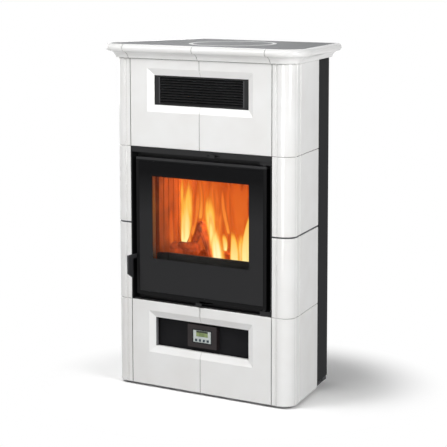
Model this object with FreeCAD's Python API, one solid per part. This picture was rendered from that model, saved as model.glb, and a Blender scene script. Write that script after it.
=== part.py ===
import FreeCAD, Part
import math
import os

os.makedirs("parts", exist_ok=True)

# A wood stove clad in glazed ceramic. Sizes are in millimetres. While a piece is drawn, x runs to the
# right, y runs back from the ceramic face and z runs up from the floor.

# Plan of the body: a straight face, rounded corners and sides that draw in towards the back
front_half_width = 288.0
corner_strip_width = 28.9
corner_radius = 40.0
side_taper = math.radians(16.0)
body_depth = 415.0
seat = 0.3
overrun = 2.0

# Ceramic tiles
tile_base_height = 8.0
bottom_row_height = 294.0
lower_door_row_height = 264.0
upper_door_row_height = 260.5
top_row_height = 299.5
tile_joint = 0.8
corner_joint = 2.0
expansion_joint = 5.0
tile_wall = 12.0
tile_rear_rounding = 8.0
tile_edge_bevel = 1.8
front_tile_depth = 22.0

# Upright grooves that part the corner roll from the flats
front_groove_inset = 9.9
front_groove_width = 10.0
front_groove_depth = 3.5
roll_groove_place = 42.0
roll_groove_width = 15.0
roll_groove_depth = 4.0
bead_groove_place = 84.0
bead_groove_width = 13.0
bead_groove_depth = 3.5

# Framed openings in the front tiles
opening_half_width = 192.0
opening_half_height = 50.0
opening_bevel_width = 23.0
opening_bevel_depth = 10.0
niche_centre_drop = 105.0
grille_centre_drop = 105.6

# Cornice
cornice_joint = 1.8
band_height = 22.0
band_reach_low = 9.0
band_reach_high = 30.0
band_hollow = 4.0
bullnose_height = 25.0
bullnose_root_reach = 35.0
bullnose_reach = 44.0
cornice_depth_inside = 26.0
ledge_reach = 26.0

# Top plate and its round cover
top_plate_thickness = 6.0
top_plate_gap = 0.8
cover_radius = 150.0
cover_centre_depth = 197.0
cover_thickness = 3.0
cover_gap = 0.8
cover_seat_width = 40.0

# Base, feet and frame
foot_radius = 20.0
foot_thickness = 5.0
foot_stud_radius = 5.0
foot_stud_length = 22.0
foot_stud_gap = 0.3
base_inset = 10.0
base_rear_gap = 5.0
front_foot_half_spacing = 250.0
front_foot_depth = 45.0
rear_foot_half_spacing = 190.0
rear_foot_inset = 43.0
angle_leg = 24.0
angle_thickness = 2.5
front_angle_offset = 4.0
rail_outer_inset = 2.0
rail_depth = 12.0

# Sheet steel panels behind the tiles
rear_panel_depth = 122.0
panel_sheet = 1.5
panel_inset = 3.0
panel_flange = 18.0
panel_foot_gap = 24.0
panel_tile_gap = 0.8
back_sheet = 1.2
slot_half_length = 32.0
slot_height = 5.0
slot_pitch = 14.0
slot_rows = 7
slot_column_place = 110.0
lower_slot_height = 40.0
upper_slot_margin = 60.0

# Door surround, and how far the leaf laps past its mouth
surround_sheet = 3.0
surround_gap = 0.8
surround_face_inset = 0.8
sill_face_inset = 8.0
fascia_height = 18.4
mouth_side_lap = 53.0
mouth_bottom_lap = 22.0
mouth_top_lap = 37.0

# Door leaf, pane and seal
leaf_side_gap = 20.2
leaf_bottom_gap = 19.9
leaf_top_gap = 16.9
leaf_face_inset = 2.0
leaf_thickness = 28.0
leaf_edge_rounding = 1.6
window_side_margin = 61.0
window_bottom_margin = 118.0
window_top_margin = 55.0
pane_margin = 12.5
pane_thickness = 4.0
pane_gap = 0.5
strip_width = 5.6
strip_thickness = 16.0
leaf_seal_room = 8.0
seal_margin = 11.0
seal_width = 10.0
seal_groove_depth = 4.0
seal_side_gap = 0.2

# Hinge
hinge_inset = 15.0
hinge_pin_radius = 4.0
hinge_running_gap = 0.05
hinge_pin_engagement = 19.0
hinge_bore_spare = 3.0
hinge_collar_radius = 7.0
hinge_collar_height = 4.5
hinge_bracket_width = 26.0
hinge_bracket_depth = 18.0

# Lever handle, its pin and its keeper
lever_thickness = 7.0
lever_side_gap = 0.7
lever_pivot_rise = 130.5
lever_arm_height = 13.0
lever_grip_reach = 42.0
lever_grip_width = 24.0
lever_grip_drop = 73.0
lever_grip_chamfer = 15.5
lever_hub_radius = 8.5
lever_pin_radius = 3.0
lever_pin_length = 20.0
hook_reach = 41.0
hook_height = 8.0
hook_nose_width = 6.0
hook_nose_rise = 8.4
keeper_side = 8.0
keeper_gap = 0.6
keeper_overlap = 4.0
keeper_slot_half_width = 8.0
keeper_slot_below = 31.0

# Air levers
primary_bar_width = 14.0
primary_bar_thickness = 3.0
primary_bar_rise = 9.4
primary_tab_width = 24.0
primary_tab_height = 9.0
primary_tab_reach = 7.0
primary_travel = 20.0
primary_shutter_gap = 0.5
shutter_width = 60.0
shutter_length = 50.0
shutter_setback = 21.0
secondary_place = 58.0
secondary_bar_width = 8.0
secondary_bar_thickness = 3.2
secondary_bar_drop = 15.3
secondary_tab_width = 22.0
secondary_tab_height = 10.0
secondary_tab_reach = 9.0
secondary_travel = 20.0
secondary_shutter_height = 20.0
lever_tab_thickness = 4.0
lever_slot_gap = 2.0
air_hole_radius = 6.0
air_hole_spacing = 20.0

# Firebox, set out from the mouth, the back and the duct above it
firebox_side_margin = 22.0
firebox_rear_gap = 70.0
firebox_duct_gap = 16.0
firebox_wall = 4.0
leg_width = 24.0
leg_thickness = 3.0
leg_front_gap = 5.0
ledge_width = 14.0
ledge_thickness = 4.0

# Hearth, grate, guard and ash pan, set back from the surround
hearth_rise = 50.0
hearth_thickness = 10.0
grate_half_width = 90.0
grate_setback = 79.0
grate_rear_margin = 75.0
grate_rim = 14.0
grate_bar_pitch = 18.0
grate_slot_width = 9.0
grate_lip = 6.0
grate_gap = 0.6
guard_side_gap = 4.4
guard_setback = 9.0
guard_thickness = 9.0
guard_height = 72.0
guard_rounding = 24.0
ash_pan_side_gap = 52.0
ash_pan_setback = 11.0
ash_pan_rear_gap = 39.0
ash_pan_headroom = 3.7
ash_pan_wall = 1.5
ash_pan_grip_width = 90.0
ash_pan_grip_reach = 8.0
ash_pan_grip_thickness = 3.0

# Lining and baffle
lining_thickness = 22.0
lining_rib_depth = 4.0
lining_rib_width = 14.0
lining_rib_pitch = 28.0
lining_setback = 21.0
lining_gap = 0.6
baffle_thickness = 20.0
baffle_setback = 79.0

# Flue collar and air intake collar
flue_centre_drop = 100.0
flue_bore_radius = 75.4
flue_wall = 4.0
flue_socket_length = 60.0
flue_stop_step = 4.0
flue_flange_width = 16.6
flue_flange_thickness = 5.0
collar_reach = 35.0
collar_panel_gap = 4.0
intake_centre_height = 230.0
intake_outer_radius = 40.0
intake_wall = 2.0
intake_flange_width = 14.0
intake_flange_thickness = 2.0

# Warm-air duct and grille
duct_side_margin = 8.0
duct_height_margin = 11.0
duct_sheet = 1.5
duct_rear_gap = 93.0
duct_shelf = 90.0
grille_gap = 0.8
grille_front_depth = 11.0
grille_depth = 10.0
grille_side_strip = 17.0
grille_rim = 5.0
louvre_count = 10
louvre_thickness = 1.8
louvre_tilt = math.radians(35.0)

# Blower
blower_half_length = 130.0
blower_rear_gap = 23.0
blower_depth = 92.0
blower_height = 112.0
blower_sheet = 2.0
rotor_radius = 32.0
rotor_end_gap = 8.0
rotor_disc_thickness = 3.0
blade_count = 12
blade_length = 11.0
blade_thickness = 1.5
blade_tilt = math.radians(40.0)
rotor_shaft_radius = 4.0
rotor_running_gap = 0.05
motor_half_width = 28.0
motor_length = 44.0
motor_shaft_depth = 25.0

# Control niche
niche_panel_setback = 9.0
niche_panel_sheet = 2.0
niche_wall_gap = 2.0
plate_half_width = 60.0
plate_half_height = 39.0
plate_rise = 3.0
plate_face_depth = 13.0
plate_rounding = 3.0
bezel_half_width = 36.0
bezel_half_height = 20.0
bezel_thickness = 3.0
bezel_recess_gap = 0.3
display_half_width = 24.0
display_half_height = 8.2
display_rise = 8.0
button_count = 4
button_spacing = 16.0
button_half_width = 3.8
button_half_height = 3.8
button_drop = 13.0
button_proud = 1.6
button_length = 8.0
button_travel = 1.2
button_gap = 0.3

# Mains inlet
inlet_edge_margin = 83.0
inlet_height = 70.0
inlet_half_width = 15.0
inlet_half_height = 12.0
inlet_wall = 3.0
inlet_length = 20.0
inlet_flange = 4.0
inlet_flange_thickness = 2.0
inlet_socket_depth = 14.0

# Heights and places that follow from the sizes above
row_1_bottom = tile_base_height
row_1_top = row_1_bottom + bottom_row_height
row_2_bottom = row_1_top + tile_joint
row_2_top = row_2_bottom + lower_door_row_height
row_3_bottom = row_2_top + expansion_joint
row_3_top = row_3_bottom + upper_door_row_height
row_4_bottom = row_3_top + tile_joint
row_4_top = row_4_bottom + top_row_height
cornice_bottom = row_4_top + seat
cornice_top = cornice_bottom + band_height + bullnose_height
base_top = tile_base_height - seat
panel_top = cornice_bottom - seat
panel_rear = body_depth - back_sheet - seat
rear_reach = body_depth + collar_reach
y_origin = -(rear_reach - lever_grip_reach) / 2
arc_centre_x = front_half_width + corner_strip_width
plan_half_width = arc_centre_x + corner_radius * math.tan((math.pi / 2 + side_taper) / 2)
tile_side_length = (body_depth - rear_panel_depth) / math.cos(side_taper)
front_groove_place = arc_centre_x - front_groove_inset
front_angle_place = front_half_width + front_angle_offset
rear_foot_depth = body_depth - rear_foot_inset
cover_hole_radius = cover_radius - cover_seat_width
upper_slot_height = panel_top - upper_slot_margin - slot_rows * slot_pitch

# Surround, door and levers
leaf_rear = leaf_face_inset + leaf_thickness
surround_back = leaf_rear + leaf_seal_room
surround_depth = surround_back + surround_sheet
surround_half_width = front_half_width - surround_gap
surround_bottom = row_1_top + surround_gap + seat
surround_top = row_4_bottom - surround_gap
leaf_half_width = surround_half_width - leaf_side_gap
leaf_bottom_height = surround_bottom + leaf_bottom_gap
leaf_top_height = surround_top - fascia_height - leaf_top_gap
mouth_half_width = leaf_half_width - mouth_side_lap
mouth_bottom_height = leaf_bottom_height + mouth_bottom_lap
mouth_top_height = leaf_top_height - mouth_top_lap
window_half_width = leaf_half_width - window_side_margin
window_bottom_height = leaf_bottom_height + window_bottom_margin
window_top_height = leaf_top_height - window_top_margin
seal_half_width = mouth_half_width + seal_margin
hinge_x = leaf_half_width - hinge_inset
hinge_y = leaf_face_inset + leaf_thickness / 2
hinge_bore_depth = hinge_pin_engagement + hinge_bore_spare
lever_x = -leaf_half_width - lever_side_gap - lever_thickness
lever_pivot_y = leaf_face_inset + leaf_thickness / 2
lever_pivot_height = leaf_bottom_height + lever_pivot_rise
keeper_bottom = lever_pivot_height + hook_nose_rise + keeper_gap
primary_bar_height = surround_bottom + primary_bar_rise
secondary_bar_height = surround_top - secondary_bar_drop
shutter_depth = surround_depth + shutter_setback

# Openings in the front, the duct behind the upper one and the plates in the lower one
niche_centre_height = row_1_top - niche_centre_drop
grille_centre_height = row_4_top - grille_centre_drop
niche_panel_depth = front_tile_depth + niche_panel_setback
plate_centre_height = niche_centre_height + plate_rise
duct_half_width = opening_half_width + duct_side_margin
duct_bottom = grille_centre_height - opening_half_height - duct_height_margin
duct_top = grille_centre_height + opening_half_height + duct_height_margin

# Firebox and what stands in it
firebox_half_width = mouth_half_width + firebox_side_margin
firebox_inner_half = firebox_half_width - firebox_wall
firebox_rear_depth = body_depth - firebox_rear_gap
firebox_inner_rear = firebox_rear_depth - firebox_wall
firebox_bottom_height = mouth_bottom_height - firebox_wall
firebox_top_height = duct_bottom - firebox_duct_gap
flue_centre_height = firebox_top_height - flue_centre_drop
hearth_top_height = mouth_bottom_height + hearth_rise
hearth_bottom_height = hearth_top_height - hearth_thickness
grate_front_depth = surround_depth + grate_setback
grate_rear_depth = firebox_rear_depth - grate_rear_margin
guard_half_width = firebox_inner_half - lining_gap - lining_thickness - guard_side_gap
guard_front_depth = surround_depth + guard_setback
ash_pan_bottom_height = mouth_bottom_height + seat
ash_pan_top_height = hearth_bottom_height - ash_pan_headroom
ash_pan_half_width = firebox_inner_half - ash_pan_side_gap
ash_pan_front_depth = surround_depth + ash_pan_setback
ash_pan_rear_depth = firebox_inner_rear - ash_pan_rear_gap
lining_top_height = mouth_top_height
lining_front_depth = surround_depth + lining_setback
baffle_front_depth = surround_depth + baffle_setback

# Blower, with its rotor in the middle of the housing
blower_rear_depth = body_depth - blower_rear_gap
blower_front_depth = blower_rear_depth - blower_depth
blower_bottom_height = base_top + seat
rotor_centre_depth = blower_rear_depth - blower_depth / 2
rotor_centre_height = blower_bottom_height + blower_height / 2
rotor_half_length = blower_half_length - blower_sheet - rotor_end_gap


def vec(x, y, z):
    return FreeCAD.Vector(x, y, z)


def box(x0, x1, y0, y1, z0, z1):
    return Part.makeBox(x1 - x0, y1 - y0, z1 - z0, vec(x0, y0, z0))


def cylinder(radius, start, direction, length):
    return Part.makeCylinder(radius, length, start, direction)


def tube(outer, inner, start, direction, length):
    return cylinder(outer, start, direction, length).cut(cylinder(inner, start, direction, length))


def line(a, b):
    return Part.LineSegment(a, b).toShape()


def arc(a, b, c):
    return Part.Arc(a, b, c).toShape()


def polygon(points):
    return Part.Wire(Part.makePolygon(points + [points[0]]))


def lift(wire, bottom, top):
    flat = Part.Face(wire)
    flat.translate(vec(0, 0, bottom))
    return flat.extrude(vec(0, 0, top - bottom))


def mirrored(shape):
    return shape.mirror(vec(0, 0, 0), vec(1, 0, 0))


def both_sides(shape):
    return [shape, mirrored(shape)]


def fused(pieces):
    whole = pieces[0]
    for piece in pieces[1:]:
        whole = whole.fuse(piece)
    return whole.removeSplitter()


def cut_all(shape, tools):
    for tool in tools:
        shape = shape.cut(tool)
    return shape


def export(name, solids):
    """Write one node, moved so that the middle of the stove's depth lies at zero."""
    pieces = solids if isinstance(solids, list) else [solids]
    shape = pieces[0] if len(pieces) == 1 else Part.makeCompound(pieces)
    shape = shape.copy()
    shape.translate(vec(0, y_origin, 0))
    shape.exportStep("parts/" + name + ".step")


# Lines of the plan that the tiles, the cornice, the plates and the panels all follow

def side_point(distance, outward):
    """A point at this distance along the right side, this far outside the tile face."""
    x = plan_half_width - distance * math.sin(side_taper) + outward * math.cos(side_taper)
    y = distance * math.cos(side_taper) + outward * math.sin(side_taper)
    return vec(x, y, 0)


def side_x(depth, outward):
    """Half the width at this depth, this far outside the tile face."""
    return plan_half_width + outward / math.cos(side_taper) - depth * math.tan(side_taper)


def arc_point(turn, outward):
    radius = corner_radius + outward
    x = arc_centre_x + radius * math.cos(turn)
    return vec(x, corner_radius + radius * math.sin(turn), 0)


def corner_arc(outward):
    """The three points of the rounded corner, from the face to the side."""
    start = -math.pi / 2
    return [arc_point(turn, outward) for turn in (start, (start + side_taper) / 2, side_taper)]


def corner_section(outer, inner, start_x, side_end, rounding):
    """The plan of one right-hand corner tile or rail, between two offsets from the tile face."""
    outside = corner_arc(outer)
    inside = corner_arc(inner)
    near_end = side_point(side_end - rounding, outer)
    turned = side_point(side_end - rounding + rounding * math.sin(math.pi / 4),
                        outer - rounding + rounding * math.cos(math.pi / 4))
    far_end = side_point(side_end, outer - rounding)
    inner_end = side_point(side_end, inner)
    return Part.Wire([
        line(vec(start_x, -outer, 0), outside[0]), arc(*outside), line(outside[2], near_end),
        arc(near_end, turned, far_end), line(far_end, inner_end), line(inner_end, inside[2]),
        arc(inside[2], inside[1], inside[0]), line(inside[0], vec(start_x, -inner, 0)),
        line(vec(start_x, -inner, 0), vec(start_x, -outer, 0))])


def plan_outline(outward, rear):
    """The whole plan, this far outside the tile face and cut straight at the rear."""
    right = corner_arc(outward)
    left = [vec(-p.x, p.y, 0) for p in right]
    rear_right = vec(side_x(rear, outward), rear, 0)
    rear_left = vec(-rear_right.x, rear, 0)
    return Part.Wire([
        line(left[0], right[0]), arc(*right), line(right[2], rear_right), line(rear_right, rear_left),
        line(rear_left, left[2]), arc(left[2], left[1], left[0])])


# Ceramic tiles

def groove_cutter(place, normal, width, depth, bottom, top):
    """A round cutter that leaves a shallow upright groove of this width and depth."""
    radius = (width * width / 4 + depth * depth) / (2 * depth)
    centre = place + normal * (radius - depth)
    centre.z = bottom - overrun
    return cylinder(radius, centre, vec(0, 0, 1), top - bottom + 2 * overrun)


def outer_edges(tile, start_x):
    """The edges of the glazed face: its top and bottom rims and its upright edge at the joint."""
    chosen = []
    box_z = tile.BoundBox
    for edge in tile.Edges:
        middle = edge.valueAt((edge.FirstParameter + edge.LastParameter) / 2)
        level = edge.BoundBox.ZLength < seat
        at_rim = min(abs(middle.z - box_z.ZMin), abs(middle.z - box_z.ZMax)) < seat
        if middle.x <= arc_centre_x:
            outward = -middle.y
        elif middle.y < corner_arc(0)[2].y:
            reach = math.hypot(middle.x - arc_centre_x, middle.y - corner_radius)
            outward = reach - corner_radius
        else:
            outward = (middle.x - side_x(middle.y, 0)) * math.cos(side_taper)
        on_face = outward > -tile_wall / 4
        upright = not level and abs(middle.x - start_x) < seat and abs(middle.y) < seat
        if (level and at_rim and on_face) or upright:
            chosen.append(edge)
    return chosen


def corner_tile(bottom, top):
    """One right-hand corner tile: a face strip, a rounded roll, a bead and the flat of the side."""
    start_x = front_half_width + corner_joint / 2
    section = corner_section(0, -tile_wall, start_x, tile_side_length, tile_rear_rounding)
    tile = lift(section, bottom, top)
    tile = tile.makeChamfer(tile_edge_bevel, outer_edges(tile, start_x))
    side_normal = vec(math.cos(side_taper), math.sin(side_taper), 0)
    grooves = [
        (vec(front_groove_place, 0, 0), vec(0, -1, 0), front_groove_width, front_groove_depth),
        (side_point(roll_groove_place, 0), side_normal, roll_groove_width, roll_groove_depth),
        (side_point(bead_groove_place, 0), side_normal, bead_groove_width, bead_groove_depth)]
    return cut_all(tile, [groove_cutter(*groove, bottom, top) for groove in grooves])


def opening_cutter(centre_height):
    """The framed opening of a front tile: a bevel that draws in, then a straight hole."""
    grow = opening_bevel_width * (opening_bevel_depth + overrun) / opening_bevel_depth
    wide = opening_half_width + grow
    tall = opening_half_height + grow
    bevel = Part.makeWedge(
        -wide, -overrun, centre_height - tall, centre_height - opening_half_height, -opening_half_width,
        wide, opening_bevel_depth, centre_height + tall, centre_height + opening_half_height,
        opening_half_width)
    hole = box(-opening_half_width, opening_half_width, opening_bevel_depth - overrun,
               front_tile_depth + overrun, centre_height - opening_half_height,
               centre_height + opening_half_height)
    return bevel.fuse(hole)


def front_tile(bottom, top, centre_height):
    """The right half of a front row, with its share of the framed opening."""
    side = front_half_width - corner_joint / 2
    tile = box(tile_joint / 2, side, 0, front_tile_depth, bottom, top)
    rim = [edge for edge in tile.Edges if edge.BoundBox.YMax < seat]
    tile = tile.makeChamfer(tile_edge_bevel, rim)
    return tile.cut(opening_cutter(centre_height))


def make_tiles():
    rows = [(row_1_bottom, row_1_top), (row_2_bottom, row_2_top),
            (row_3_bottom, row_3_top), (row_4_bottom, row_4_top)]
    for number, (bottom, top) in enumerate(rows, 1):
        right, left = both_sides(corner_tile(bottom, top))
        export("corner_tile_right_%d" % number, right)
        export("corner_tile_left_%d" % number, left)
    for name, row, height in (("bottom", rows[0], niche_centre_height),
                              ("top", rows[3], grille_centre_height)):
        right, left = both_sides(front_tile(*row, height))
        export("front_tile_%s_right" % name, right)
        export("front_tile_%s_left" % name, left)


# Cornice and top

def cornice_profile(x):
    """The cornice's section in the plane across the face: a hollow band under a rounded nose."""
    def at(reach, height):
        return vec(x, -reach, cornice_bottom + height)

    top = band_height + bullnose_height
    ledge = top - top_plate_thickness - seat
    hollow = band_hollow * math.cos(math.pi / 4)
    band_middle = at((band_reach_low + band_reach_high) / 2 - hollow, band_height / 2 + hollow)
    nose_middle = at(bullnose_reach, band_height + bullnose_height / 2)
    inner = -cornice_depth_inside
    return Part.Face(Part.Wire([
        line(at(inner, 0), at(band_reach_low, 0)),
        arc(at(band_reach_low, 0), band_middle, at(band_reach_high, band_height)),
        line(at(band_reach_high, band_height), at(bullnose_root_reach, band_height)),
        arc(at(bullnose_root_reach, band_height), nose_middle, at(bullnose_root_reach, top)),
        line(at(bullnose_root_reach, top), at(ledge_reach, top)),
        line(at(ledge_reach, top), at(ledge_reach, ledge)),
        line(at(ledge_reach, ledge), at(inner, ledge)), line(at(inner, ledge), at(inner, 0))]))


def cornice_corner():
    """The right-hand corner piece: round the corner and back along the side."""
    start_x = front_half_width + cornice_joint / 2
    lead = cornice_profile(start_x).extrude(vec(arc_centre_x - start_x, 0, 0))
    pivot = vec(arc_centre_x, corner_radius, 0)
    turn = math.degrees(math.pi / 2 + side_taper)
    bend = cornice_profile(arc_centre_x).revolve(pivot, vec(0, 0, 1), turn)
    side_face = cornice_profile(arc_centre_x)
    side_face.rotate(pivot, vec(0, 0, 1), turn)
    run = vec(-math.sin(side_taper), math.cos(side_taper), 0) * (body_depth + plan_half_width)
    side = side_face.extrude(run)
    whole = fused([lead, bend, side])
    behind = box(-plan_half_width, 2 * plan_half_width, body_depth, 3 * body_depth,
                 0, cornice_top + overrun)
    return whole.cut(behind)


def make_cornice():
    length = front_half_width - cornice_joint
    straight = cornice_profile(cornice_joint / 2).extrude(vec(length, 0, 0))
    for shape, name in ((straight, "cornice_front"), (cornice_corner(), "cornice_corner")):
        right, left = both_sides(shape)
        export(name + "_right", right)
        export(name + "_left", left)


def make_top():
    bottom = cornice_top - top_plate_thickness
    plate = lift(plan_outline(ledge_reach - top_plate_gap, body_depth), bottom, cornice_top)
    centre = vec(0, cover_centre_depth, cornice_top - cover_thickness - seat)
    rebate = cylinder(cover_radius + cover_gap, centre, vec(0, 0, 1), cover_thickness + overrun)
    low = vec(0, cover_centre_depth, bottom - overrun)
    hole = cylinder(cover_hole_radius, low, vec(0, 0, 1), top_plate_thickness + 2 * overrun)
    export("top_plate", cut_all(plate, [rebate, hole]))
    cover_start = vec(0, cover_centre_depth, cornice_top - cover_thickness)
    export("top_cover", cylinder(cover_radius, cover_start, vec(0, 0, 1), cover_thickness))


# Base, frame and sheet panels

def foot_places():
    return [vec(side * x, y, 0) for x, y in ((front_foot_half_spacing, front_foot_depth),
                                             (rear_foot_half_spacing, rear_foot_depth))
            for side in (1, -1)]


def make_base():
    plate = lift(plan_outline(-base_inset, body_depth - base_rear_gap), foot_thickness, base_top)
    feet = []
    for place in foot_places():
        pad = cylinder(foot_radius, place, vec(0, 0, 1), foot_thickness - seat)
        stud = cylinder(foot_stud_radius, place, vec(0, 0, 1), foot_thickness + foot_stud_length)
        feet.append(pad.fuse(stud).removeSplitter())
        hole_radius = foot_stud_radius + foot_stud_gap
        plate = plate.cut(cylinder(hole_radius, place, vec(0, 0, 1), tile_base_height + overrun))
    export("base_plate", plate)
    export("levelling_feet", feet)


def angle_post(corner, x_way, y_way, bottom, top):
    """A steel angle that stands with its outer corner here and its legs running these ways."""
    points = [(0, 0), (angle_leg, 0), (angle_leg, angle_thickness),
              (angle_thickness, angle_thickness), (angle_thickness, angle_leg), (0, angle_leg)]
    wire = polygon([vec(corner.x + x_way * x, corner.y + y_way * y, 0) for x, y in points])
    return lift(wire, bottom, top)


def make_inner_frame():
    front_depth = tile_wall + rail_outer_inset + 2 * seat
    front_corner = vec(front_angle_place, front_depth, 0)
    rear_depth = panel_rear - panel_sheet - seat
    rear_reach_in = side_x(rear_depth, -panel_inset - panel_sheet) - 2 * seat
    solids = []
    for corner, x_way, y_way in ((front_corner, 1, 1), (vec(rear_reach_in, rear_depth, 0), -1, -1)):
        solids += both_sides(angle_post(corner, x_way, y_way, base_top, panel_top))
    start_x = front_half_width + corner_joint / 2
    section = corner_section(-rail_outer_inset, -rail_outer_inset - rail_depth, start_x,
                             tile_side_length - rail_outer_inset, tile_rear_rounding)
    solids += both_sides(lift(section, row_2_top + seat, row_3_bottom - seat))
    export("inner_frame", solids)


def make_side_panels():
    front = tile_side_length + panel_tile_gap
    inner = -panel_inset - panel_sheet
    rear_x = side_x(panel_rear, -panel_inset)
    fold_depth = panel_rear - panel_sheet
    points = [
        side_point(front, -panel_inset), vec(rear_x, panel_rear, 0),
        vec(rear_x - panel_flange, panel_rear, 0), vec(rear_x - panel_flange, fold_depth, 0),
        vec(side_x(fold_depth, inner), fold_depth, 0), side_point(front + panel_sheet, inner),
        side_point(front + panel_sheet, -panel_inset - panel_flange),
        side_point(front, -panel_inset - panel_flange)]
    right, left = both_sides(lift(polygon(points), panel_foot_gap, panel_top))
    export("side_panel_right", right)
    export("side_panel_left", left)


def inlet_box(grow, y0, y1):
    """The outline of the mains inlet near the right edge of the back panel, made this much larger."""
    x = side_x(body_depth, -panel_inset) - inlet_edge_margin
    return box(x - inlet_half_width - grow, x + inlet_half_width + grow, y0, y1,
               inlet_height - inlet_half_height - grow, inlet_height + inlet_half_height + grow)


def back_slots(first_height):
    for column in (-slot_column_place, slot_column_place):
        for row in range(slot_rows):
            z = first_height + row * slot_pitch
            yield box(column - slot_half_length, column + slot_half_length,
                      body_depth - back_sheet - overrun, body_depth + overrun, z, z + slot_height)


def make_back_panel():
    half = side_x(body_depth, -panel_inset)
    panel = box(-half, half, body_depth - back_sheet, body_depth, panel_foot_gap, panel_top)
    neck = side_x(body_depth, -cornice_depth_inside) - tile_joint
    collar_strip = box(-neck, neck, body_depth - back_sheet, body_depth, panel_top - overrun,
                       cornice_top - top_plate_thickness - seat)
    panel = fused([panel, collar_strip])
    start = body_depth - back_sheet - overrun
    through = back_sheet + 2 * overrun
    flue = cylinder(flue_bore_radius + flue_wall + collar_panel_gap,
                    vec(0, start, flue_centre_height), vec(0, 1, 0), through)
    intake = cylinder(intake_outer_radius - intake_wall, vec(0, start, intake_centre_height),
                      vec(0, 1, 0), through)
    inlet = inlet_box(seat, start, body_depth + overrun)
    slots = list(back_slots(lower_slot_height + slot_pitch)) + list(back_slots(upper_slot_height))
    slots = [slot for slot in slots if slot.distToShape(inlet)[0] > slot_height]
    export("back_panel", cut_all(panel, [flue, intake, inlet] + slots))


# Door surround

def make_surround():
    inner = surround_half_width - surround_sheet
    fascia = box(-surround_half_width, surround_half_width, surround_face_inset,
                 surround_face_inset + surround_sheet, surround_top - fascia_height, surround_top)
    roof = box(-surround_half_width, surround_half_width, surround_face_inset, surround_depth,
               surround_top - surround_sheet, surround_top)
    sill = box(-surround_half_width, surround_half_width, sill_face_inset, surround_depth,
               surround_bottom, surround_bottom + surround_sheet)
    jambs = both_sides(box(inner, surround_half_width, surround_face_inset, surround_depth,
                           surround_bottom, surround_top))
    back = box(-surround_half_width, surround_half_width, surround_back, surround_depth,
               surround_bottom, surround_top)
    back = back.cut(box(-mouth_half_width, mouth_half_width, surround_back - overrun,
                        surround_depth + overrun, mouth_bottom_height, mouth_top_height))
    bracket_x = hinge_x - hinge_bracket_width / 2
    bracket_y = hinge_y - hinge_bracket_depth / 2
    lower = box(bracket_x, inner, bracket_y, bracket_y + hinge_bracket_depth,
                surround_bottom, leaf_bottom_height - seat - hinge_collar_height)
    upper = box(bracket_x, inner, bracket_y, bracket_y + hinge_bracket_depth,
                leaf_top_height + seat + hinge_collar_height, surround_top)
    whole = fused([fascia, roof, sill, back, lower, upper] + jambs)
    lever_slot = box(-primary_bar_width / 2 - primary_travel - lever_slot_gap,
                     primary_bar_width / 2 + primary_travel + lever_slot_gap,
                     surround_back - overrun, surround_depth + overrun,
                     primary_bar_height - lever_slot_gap,
                     primary_bar_height + primary_bar_thickness + lever_slot_gap)
    half = secondary_bar_width / 2 + secondary_travel + lever_slot_gap
    fascia_slot = box(secondary_place - half, secondary_place + half,
                      surround_face_inset - overrun, surround_face_inset + surround_sheet + overrun,
                      secondary_bar_height - seat, secondary_bar_height + secondary_bar_thickness + seat)
    keeper_slot = box(lever_x - keeper_slot_half_width, lever_x + keeper_slot_half_width + lever_thickness,
                      surround_back - overrun, surround_depth + overrun,
                      lever_pivot_height - keeper_slot_below, keeper_bottom)
    holes = [cylinder(air_hole_radius, vec(secondary_place + step * air_hole_spacing,
                                           surround_back - overrun, secondary_bar_height),
                      vec(0, 1, 0), surround_sheet + 2 * overrun) for step in (-1, 0, 1)]
    export("door_surround", cut_all(whole, [lever_slot, fascia_slot, keeper_slot] + holes))
    keeper_x = lever_x - keeper_slot_half_width - keeper_overlap
    keeper_end = lever_x + lever_thickness + keeper_slot_half_width + keeper_overlap
    export("latch_keeper", box(keeper_x, keeper_end, surround_depth, surround_depth + keeper_side,
                               keeper_bottom, keeper_bottom + keeper_side))


def make_hinge_pins():
    """Two steel pins with collars, one standing in the sill bracket and one hanging from above."""
    solids = []
    for level, way in ((leaf_bottom_height, 1), (leaf_top_height, -1)):
        face = level - way * seat
        collar_start = face - way * hinge_collar_height
        collar = cylinder(hinge_collar_radius, vec(hinge_x, hinge_y, collar_start),
                          vec(0, 0, way), hinge_collar_height)
        pin = cylinder(hinge_pin_radius, vec(hinge_x, hinge_y, collar_start), vec(0, 0, way),
                       hinge_collar_height + seat + hinge_pin_engagement)
        solids.append(collar.fuse(pin).removeSplitter())
    export("hinge_pins", solids)


# Door leaf

def ring(half_width, bottom, top, margin, y0, y1):
    """A rectangular ring this wide, between two depths."""
    outer = box(-half_width, half_width, y0, y1, bottom, top)
    return outer.cut(box(-half_width + margin, half_width - margin, y0 - overrun, y1 + overrun,
                         bottom + margin, top - margin))


def seal_ring(width, y0, y1):
    half = seal_half_width + width / 2
    return ring(half, mouth_bottom_height - seal_margin - width / 2,
                mouth_top_height + seal_margin + width / 2, width, y0, y1)


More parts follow.
